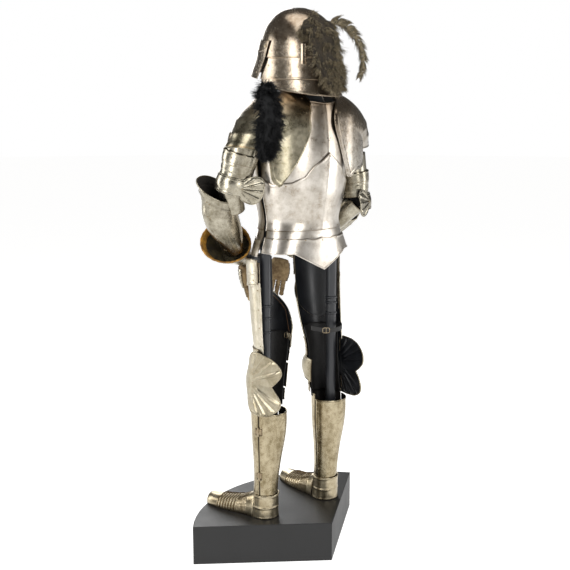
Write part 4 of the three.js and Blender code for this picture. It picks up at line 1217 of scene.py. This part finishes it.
# ---------- the poleyns ----------
# A bowl over each kneecap that runs on as a heart-shaped wing, fluted like a shell, with a lame above
# and below it on sliding rivets.
knee_steel = steel_finish("satin_steel_of_the_knees", "b5ad99", "7c725a", "57422a", 0.45, 0.22, 0.9)
WING_LOBES = [(0, 0.68), (0.2, 0.86), (0.45, 1), (0.7, 0.93), (0.92, 0.62), (1, 0.3)]
KNEE_Z = 645  # the height of the kneecap's middle
WING_ANGLE, WING_LENGTH, WING_HUB = 60, 122, 26


def poleyn(u, v):
    degrees, share = lerp(-180, WING_ANGLE, u), 2 * v - 1
    reach = max(degrees, 0) / WING_ANGLE
    half = lerp(42, 108, smooth_step(-60, 0, degrees))
    bowl = 14 * math.cos(math.radians(min(abs(degrees + 95), 90))) * (1 - share * share)
    rise = 6 * min(max((degrees + 60) / 60, 0), 1)
    length = WING_LENGTH * reach * curve(WING_LOBES, abs(share))
    # The flutes spread from a hub at the front of the wing.
    across, up = length + WING_HUB, half * share
    angle = math.degrees(math.atan2(abs(up), across))
    from_hub = math.hypot(across, up)
    edge = min(1, (1 - reach) * 6, (1 - abs(share)) * 8)
    rays = max(math.cos(math.radians((angle - 36) * 360 / 15)), 0) ** 0.8 * smooth_step(14, 20, angle)
    flutes = 4.6 * rays * smooth_step(34, 60, from_hub) * edge * smooth_step(-14, 6, degrees)
    heart = 1.4 * bump_line(share * 9, 1) * smooth_step(10, 60, from_hub) * (1 if degrees > 0 else 0)
    border = 1.0 * bump_line((1 - abs(share)) * half - 5, 2.4)
    keel = 3.0 * bump_line((degrees + 92) / 5, 1.2) * (1 - share * share)
    lift = 2.4 * LAYER + bowl + rise + flutes + border + keel - heart
    point = on_form(LEG, KNEE_Z + 30 * share, min(degrees, 0), lift)
    point.z = KNEE_Z + up
    return point + Vector((-0.0013 * length * length + 4 * reach * share * share, length, 0))


def knee_lame_relief(degrees, z, above, below):
    return 1.0 * bump_line(above - 4, 2.2) + 1.0 * bump_line(below - 4, 2.2) + 1.4 * bump_line(above - 30, 3)


for side in "LR":
    leg = leg_place(side)
    pivot = Vector((0, 12, KNEE_Z)) / 1000
    tilt = Matrix.Rotation(math.radians(KNEE_TILT[side]), 4, "X")
    knee = leg @ Matrix.Translation(pivot) @ tilt @ Matrix.Translation(-pivot)
    plate_piece(f"poleyn_plate_{side}", poleyn, 150, 110, knee_steel, f"poleyn_{side}", knee, black_paint)
    rolled_edges(
        f"poleyn_rolled_edges_{side}",
        knee_steel,
        (poleyn, knee, "top", 110, 1.9),
        (poleyn, knee, "bottom", 110, 1.9),
        (poleyn, knee, "right", 70, 2.2),
    )
    upper = plate(LEG, KNEE_FROM[side], 4, 696, 760, LAYER, knee_lame_relief)
    lower = plate(LEG, KNEE_FROM[side], 4, 556, 600, LAYER, knee_lame_relief)
    for name, face in (("poleyn_upper_lame", upper), ("poleyn_lower_lame", lower)):
        plate_piece(f"{name}_plate_{side}", face, 90, 24, knee_steel, f"{name}_{side}", leg, black_paint)
    rivet_heads(
        f"knee_rivets_{side}",
        (poleyn, knee, 2.4, (0.735,), (0.28, 0.36, 0.43, 0.5, 0.57, 0.64, 0.72)),
        (upper, leg, 2.8, (0.04, 0.94), (0.3, 0.7)),
        (lower, leg, 2.8, (0.04, 0.94), (0.3, 0.7)),
        (poleyn, knee, 2.4, (0.04,), (0.2, 0.5, 0.8)),
    )

    # The black leather inside the knee, to which the lames are riveted. It runs down into the greave.
    lining = plate(LEG, KNEE_FROM[side], 2, 540, 800, -4.5)
    finished(sheet_of(lining, 40, 30, leg), f"knee_lining_{side}", [strap_leather], wall=1.6)

# ---------- the greaves ----------
# Two shells of sheet steel close round each shin. They are hinged on the outside and meet on the inside.
# The bright and grey tones are stretched upright into streaks down the shin, which are painted reflection;
# the brown patches are stains.
greave_tones = ("c8bca0", "74674c", "47341f")
greave_steel = steel_finish(
    "greave_steel_with_stains_and_painted_reflection", *greave_tones, 0.6, 0.17, 1.2, (22.0, 22.0, 7.0), edge="2b2016"
)
SHIN = [
    # z, x, y, outer side, inner side, back, front, squareness
    (140, 0, 0, 43, 42, 38, 62, 1),
    (190, 0, 0, 43, 41, 39, 54, 1),
    (230, 0, 0, 43, 42, 40, 47, 1),
    (285, 0, 1, 45, 44, 43, 44, 1),
    (350, 0, 4, 50, 49, 50, 48, 1),
    (440, 0, 9, 61, 60, 62, 56, 1),
    (500, 0, 11, 64, 63, 65, 60, 1),
    (560, 0, 10, 62, 61, 63, 64, 1),
]


def greave_relief(degrees, z, above, below):
    """A turned top edge, a lip along the seams, and a crease down each side of the shin."""
    seams = 0.9 * (bump_line(abs(degrees) - 7, 2.6) + bump_line(abs(degrees) - 173, 2.6))
    shin = 3.0 * bump_line((degrees + 90) / 6, 1.2)
    calf = 1.2 * bump_line((degrees - 58) / 7, 1.2) * smooth_step(10, 80, above)
    return seams + shin + calf + 1.4 * bump_line(below - 4, 2.6) + 0.8 * bump_line(above - 4, 2.4)


def shin_place(side):
    return leg_place(side) @ Matrix.Rotation(math.radians(FOOT_TURN[side]), 4, "Z")


for side in "LR":
    shin = shin_place(side)
    back = plate(SHIN, 1.4, 178.6, 216, 532, 0, greave_relief)
    front = plate(SHIN, -178.6, -1.4, 222, 550, 0, greave_relief)
    for name, face in (("greave_back", back), ("greave_front", front)):
        plate_piece(f"{name}_plate_{side}", face, 84, 110, greave_steel, f"{name}_{side}", shin)
    edges = [(face, shin, "top", 60, 2.2) for face in (back, front)]
    rolled_edges(f"greave_rolled_edges_{side}", greave_steel, *edges)
    heads = [(face, shin, 2.8, (0.05, 0.95), (0.14, 0.34, 0.62, 0.86)) for face in (front, back)]
    rivet_heads(f"greave_rivets_{side}", *heads)
    hinges = None
    for height in (300, 470):
        for offset in (-1, 1):
            leaf = plate(SHIN, 5 * offset - 8, 5 * offset + 8, height - 13, height + 13, 1.0)
            hinges = sheet_of(leaf, 8, 4, shin, hinges)
        pin = [on_form(SHIN, height - 15 + 3 * k, 0, 2.2) for k in range(11)]
        hinges = rod(pin, 2.3, 8, shin, hinges)
    finished(hinges, f"greave_hinges_{side}", [rivet_steel], wall=-1.2)

# ---------- the sabatons ----------
# Heel plates hang from the greave, and narrow lames run down the foot to a blunt toe cap.
foot_tones = ("cdc2a8", "8f8268", "5a4128")
foot_steel = steel_finish(
    "brown_stained_steel_of_the_feet", *foot_tones, 0.55, 0.22, 1.2, (22.0, 22.0, 22.0), edge="2b2016"
)
foot_edge = steel_finish("rust_brown_lame_edges", "8a7552", "57432a", "352514", 0.6, 0.3, 1.0)
FOOT = [
    # y (turned round so that it grows), x, half width, top
    (30, 0, 44, 228),
    (60, 0, 43, 214),
    (100, 0, 44, 196),
    (150, 1, 46, 184),
    (205, 2, 42, 178),
    (236, 2, 33, 175),
    (252, 2, 20, 168),
]
SABATON_LAPS = (112, 124, 136, 148, 160, 172, 184)
MAIL_ROWS = (66, 72, 78, 84, 90, 96, 102)
ANKLE_END, TOE_END, SOLE = 30, 254, 140.3


def sabaton(u, v):
    """The arch of the foot from the ankle (v = 1) to the toe (v = 0). It closes in at the toe cap."""
    along = lerp(TOE_END, ANKLE_END, v)
    middle, half, top = (smooth(FOOT, min(along, 252), column) for column in (1, 2, 3))
    angle = math.pi * u
    laps = sum(2.4 * bump_line(along - lap, 2.8) for lap in SABATON_LAPS)
    mail = sum(1.0 * bump_line(along - row, 1.6) for row in MAIL_ROWS) * abs(math.sin(14 * math.pi * u))
    keel = 1.2 * bump_line(math.degrees(angle - math.pi / 2) / 4, 1.3)
    raised = laps + mail + 1.0 * bump_line(along - 34, 2.4) + keel
    still_open = 1 - smooth_step(246, 254, along)
    rise = (top - SOLE) * math.sin(angle) ** 0.7 * still_open
    across = -half * math.cos(angle) * still_open
    outward = Vector((-math.cos(angle), 0, math.sin(angle))) * raised * still_open
    return Vector((middle + across, -along, SOLE + rise)) + outward * (1 if rise > 3 else 0.3)


def across_foot(along):
    """How far up the sabaton's face a line across the foot lies."""
    return (TOE_END - along) / (TOE_END - ANKLE_END)


def heel_relief(degrees, z, above, below):
    return 1.2 * bump_line(below - 5, 2.5) + 1.0 * bump_line(above - 4, 2.2) + 1.4 * bump_line(below - 46, 3)


for side in "LR":
    shin = shin_place(side)
    heel = plate(SHIN, -24, 204, SOLE, 226, LAYER, heel_relief)
    plate_piece(f"sabaton_plate_{side}", sabaton, 60, 200, foot_steel, f"sabaton_{side}", shin)
    plate_piece(f"sabaton_heel_plate_{side}", heel, 84, 40, foot_steel, f"sabaton_heel_{side}", shin)
    turned = None
    for lap in SABATON_LAPS + MAIL_ROWS:
        path = [sabaton(lerp(0.02, 0.98, k / 40), across_foot(lap)) for k in range(41)]
        turned = rod(path, 1.5 if lap in SABATON_LAPS else 0.9, 6, shin, turned)
    finished(turned, f"sabaton_turned_edges_{side}", [foot_edge])
    edges = [(heel, shin, edge, steps, 1.8) for edge, steps in (("left", 30), ("right", 30), ("top", 60))]
    rolled_edges(f"sabaton_rolled_edges_{side}", foot_steel, *edges)
    rivet_heads(
        f"sabaton_rivets_{side}",
        (heel, shin, 2.8, (0.05, 0.95), (0.3, 0.8)),
        (sabaton, shin, 1.9, (0.1, 0.9), [across_foot(lap - 6) for lap in SABATON_LAPS]),
    )

# ---------- the plumes ----------
# Each plume is many feathers' worth of loose barbs, which lie downwards and curl out at their tips.
def feather_finish(name, root, tip, stray):
    """Feather barbs in three tones, which change from strand to strand and along each."""
    made, tree, shader, place = new_material(name)
    tufts = add_node(tree, "TexNoise", {"Vector": place, "Scale": 120.0, "Detail": 4.0})
    hairs = add_node(tree, "TexNoise", {"Vector": place, "Scale": 500.0, "Detail": 2.0})
    tone = add_node(tree, "ValToRGB", {"Fac": tufts}, ramp=((0.34, root), (0.66, tip)))
    share = add_node(tree, "MapRange", {"Value": hairs, "From Min": 0.52, "From Max": 0.72})
    mixed = add_node(tree, "Mix", {0: share, 6: tone, 7: linear(stray)}, data_type="RGBA").outputs[2]
    set_inputs(tree, shader, {"Base Color": mixed, "Roughness": 0.7, "Specular IOR Level": 0.3})
    return made


brown_feather = feather_finish("brown_ostrich_feather", "0c0905", "6a5d45", "b5a88a")
# The same brown feather made darker for the plume's core: painted shade, which gives the plume depth.
brown_shade = feather_finish("brown_feather_in_shade", "0a0704", "2b2317", "4b402c")
black_feather = feather_finish("black_ostrich_feather", "020203", "08090a", "15171a")


def barbs(name, strands, material, nodes):
    """Curved tapering hairs, each a list of points and a radius in millimetres, as closed thin tubes."""
    curves = bpy.data.curves.new(name, "CURVE")
    curves.dimensions = "3D"
    curves.bevel_depth, curves.bevel_resolution = 0.001, 0
    curves.use_fill_caps = True
    for points, radius in strands:
        line = curves.splines.new("POLY")
        line.points.add(len(points) - 1)
        for k, point in enumerate(points):
            line.points[k].co = (*(point / 1000), 1)
            line.points[k].radius = radius * (1 - 0.85 * k / (len(points) - 1))
    carrier = bpy.data.objects.new(name + "_lines", curves)
    bpy.context.collection.objects.link(carrier)
    data = bpy.data.meshes.new_from_object(carrier.evaluated_get(bpy.context.evaluated_depsgraph_get()))
    bpy.data.objects.remove(carrier)
    mesh = bmesh.new()
    mesh.from_mesh(data)
    return finished(mesh, name, [material], nodes)


def body_of(rows, share):
    """A plume's body at a share of its length: centre, half sizes, direction, and two ways across it."""
    at = share * (len(rows) - 1)
    i = min(int(at), len(rows) - 2)
    mixed = [lerp(a, b, at - i) for a, b in zip(rows[i], rows[i + 1])]
    ahead = (Vector(rows[i + 1][:3]) - Vector(rows[i][:3])).normalized()
    side = ahead.cross(Vector((0, 1, 0))).normalized()
    return Vector(mixed[:3]), mixed[3], mixed[4], ahead, side, side.cross(ahead).normalized()


CLUMPS, BARBS_IN_CLUMP, BARB_STEPS = 555, 9, 4
BARB_LENGTH, BARB_RADIUS = 33, 1.05
plume_dice = random.Random(7)


def plume_strands(rows, spread, droop, short):
    """Barbs in clumps. Each clump starts inside the body, leans outwards and along it, and curls its own
    way. short is the share of the body's length before which the barbs are clipped short."""
    dice, strands = plume_dice, []
    for _ in range(CLUMPS):
        share = dice.random() ** 0.9
        centre, across, deep, ahead, side, out = body_of(rows, share)
        turn = dice.uniform(0, 2 * math.pi)
        away = side * math.cos(turn) + out * math.sin(turn)
        depth = dice.uniform(0.6, 1.0)
        root = centre + side * math.cos(turn) * across * depth + out * math.sin(turn) * deep * depth
        curl = Vector([dice.gauss(0, 1) for _ in range(3)]) * 0.55
        size = BARB_LENGTH * dice.uniform(0.55, 1.2) * (1 - 0.45 * share**3)
        size *= 1 - 0.5 * max(0, 1 - share / (short + 0.01))
        for _ in range(BARBS_IN_CLUMP):
            stray = Vector([dice.gauss(0, 1) for _ in range(3)])
            points = [root + stray * 2.2]
            for k in range(1, BARB_STEPS + 1):
                s = k / BARB_STEPS
                lean = away * (spread * (0.5 + s)) + ahead * (0.8 - 0.6 * s) + (curl + stray * 0.16) * s
                step = (lean + Vector((0, 0, -droop * s * s))).normalized() * size / BARB_STEPS
                points.append(points[-1] + step)
            strands.append((points, BARB_RADIUS * dice.uniform(0.6, 1.2)))
    return strands


MASS = [
    # x, y, z, half width, half depth
    (104, 134, 1786, 9, 9),
    (110, 160, 1812, 36, 22),
    (86, 192, 1826, 56, 30),
    (76, 208, 1792, 66, 32),
    (76, 218, 1740, 66, 32),
    (66, 222, 1698, 58, 30),
    (44, 226, 1658, 46, 24),
    (24, 228, 1628, 18, 12),
]
FEATHER = [
    (26, 176, 1842, 5, 3),
    (-10, 178, 1848, 12, 5),
    (-55, 178, 1834, 14, 5),
    (-95, 176, 1806, 14, 5),
    (-124, 174, 1768, 13, 5),
    (-138, 172, 1728, 11, 5),
    (-133, 170, 1696, 8, 4),
    (-120, 168, 1670, 3, 2),
]
SHOULDER_TUFT = [
    (196, 60, 1640, 14, 10),
    (208, 86, 1626, 38, 22),
    (228, 118, 1592, 50, 26),
    (240, 138, 1540, 52, 26),
    (248, 138, 1486, 46, 24),
    (250, 130, 1440, 30, 17),
    (246, 124, 1418, 10, 8),
]


def shrunken(rows, share):
    return [(x, y, z, across * share, deep * share) for x, y, z, across, deep in rows]


def core_of(rows, share):
    """The dense inner body of a plume, under its loose barbs."""

    def skin(u, v):
        centre, across, deep, _, side, out = body_of(rows, v)
        closed = share * min(1, 9 * v, 9 * (1 - v)) ** 0.5
        turn = 2 * math.pi * u
        rough = 1 + 0.07 * math.sin(7 * turn + 30 * v) + 0.05 * math.sin(13 * turn - 50 * v)
        return centre + (side * math.cos(turn) * across + out * math.sin(turn) * deep) * closed * rough

    return skin


mass_strands = plume_strands(shrunken(MASS, 0.82), 0.45, 1.0, 0.45)
barbs("plume_mass_barbs", mass_strands, brown_feather, ["plume_mass"])
# The brown plume's core wears the darker copy of its feather, as painted shade under the loose barbs.
finished(sheet_of(core_of(MASS, 0.78), 40, 60), "plume_mass_core", [brown_shade])
tuft_strands = plume_strands(shrunken(SHOULDER_TUFT, 0.9), 0.7, 0.4, 0.0)
barbs("shoulder_plume_barbs", tuft_strands, black_feather, ["shoulder_plume"])
tuft_core = sheet_of(core_of(SHOULDER_TUFT, 0.74), 40, 60)
finished(tuft_core, "shoulder_plume_core", [black_feather])

# The long feather has a quill down its middle and barbs on both sides of it.
quill = [body_of(FEATHER, k / 40)[0] for k in range(41)]
long_strands = [(quill, 2.2)]
for _ in range(1900):
    share = plume_dice.uniform(0.02, 0.99)
    centre, across, _, ahead, side, _ = body_of(FEATHER, share)
    side = side * plume_dice.choice((-1, 1))
    size = (across + 9) * plume_dice.uniform(0.6, 1.4)
    sag = Vector((plume_dice.gauss(0, 0.12), plume_dice.gauss(0, 0.22), -0.25))
    points = [centre.copy()]
    for k in range(5):
        lean = side * (1 - 0.12 * k) + ahead * (0.55 + 0.18 * k) + sag * k * 0.5
        points.append(points[-1] + lean.normalized() * size / 4)
    long_strands.append((points, 0.8))
barbs("plume_feather_barbs", long_strands, brown_feather, ["plume_feather"])
repaint("plume_tube", helmet_steel)
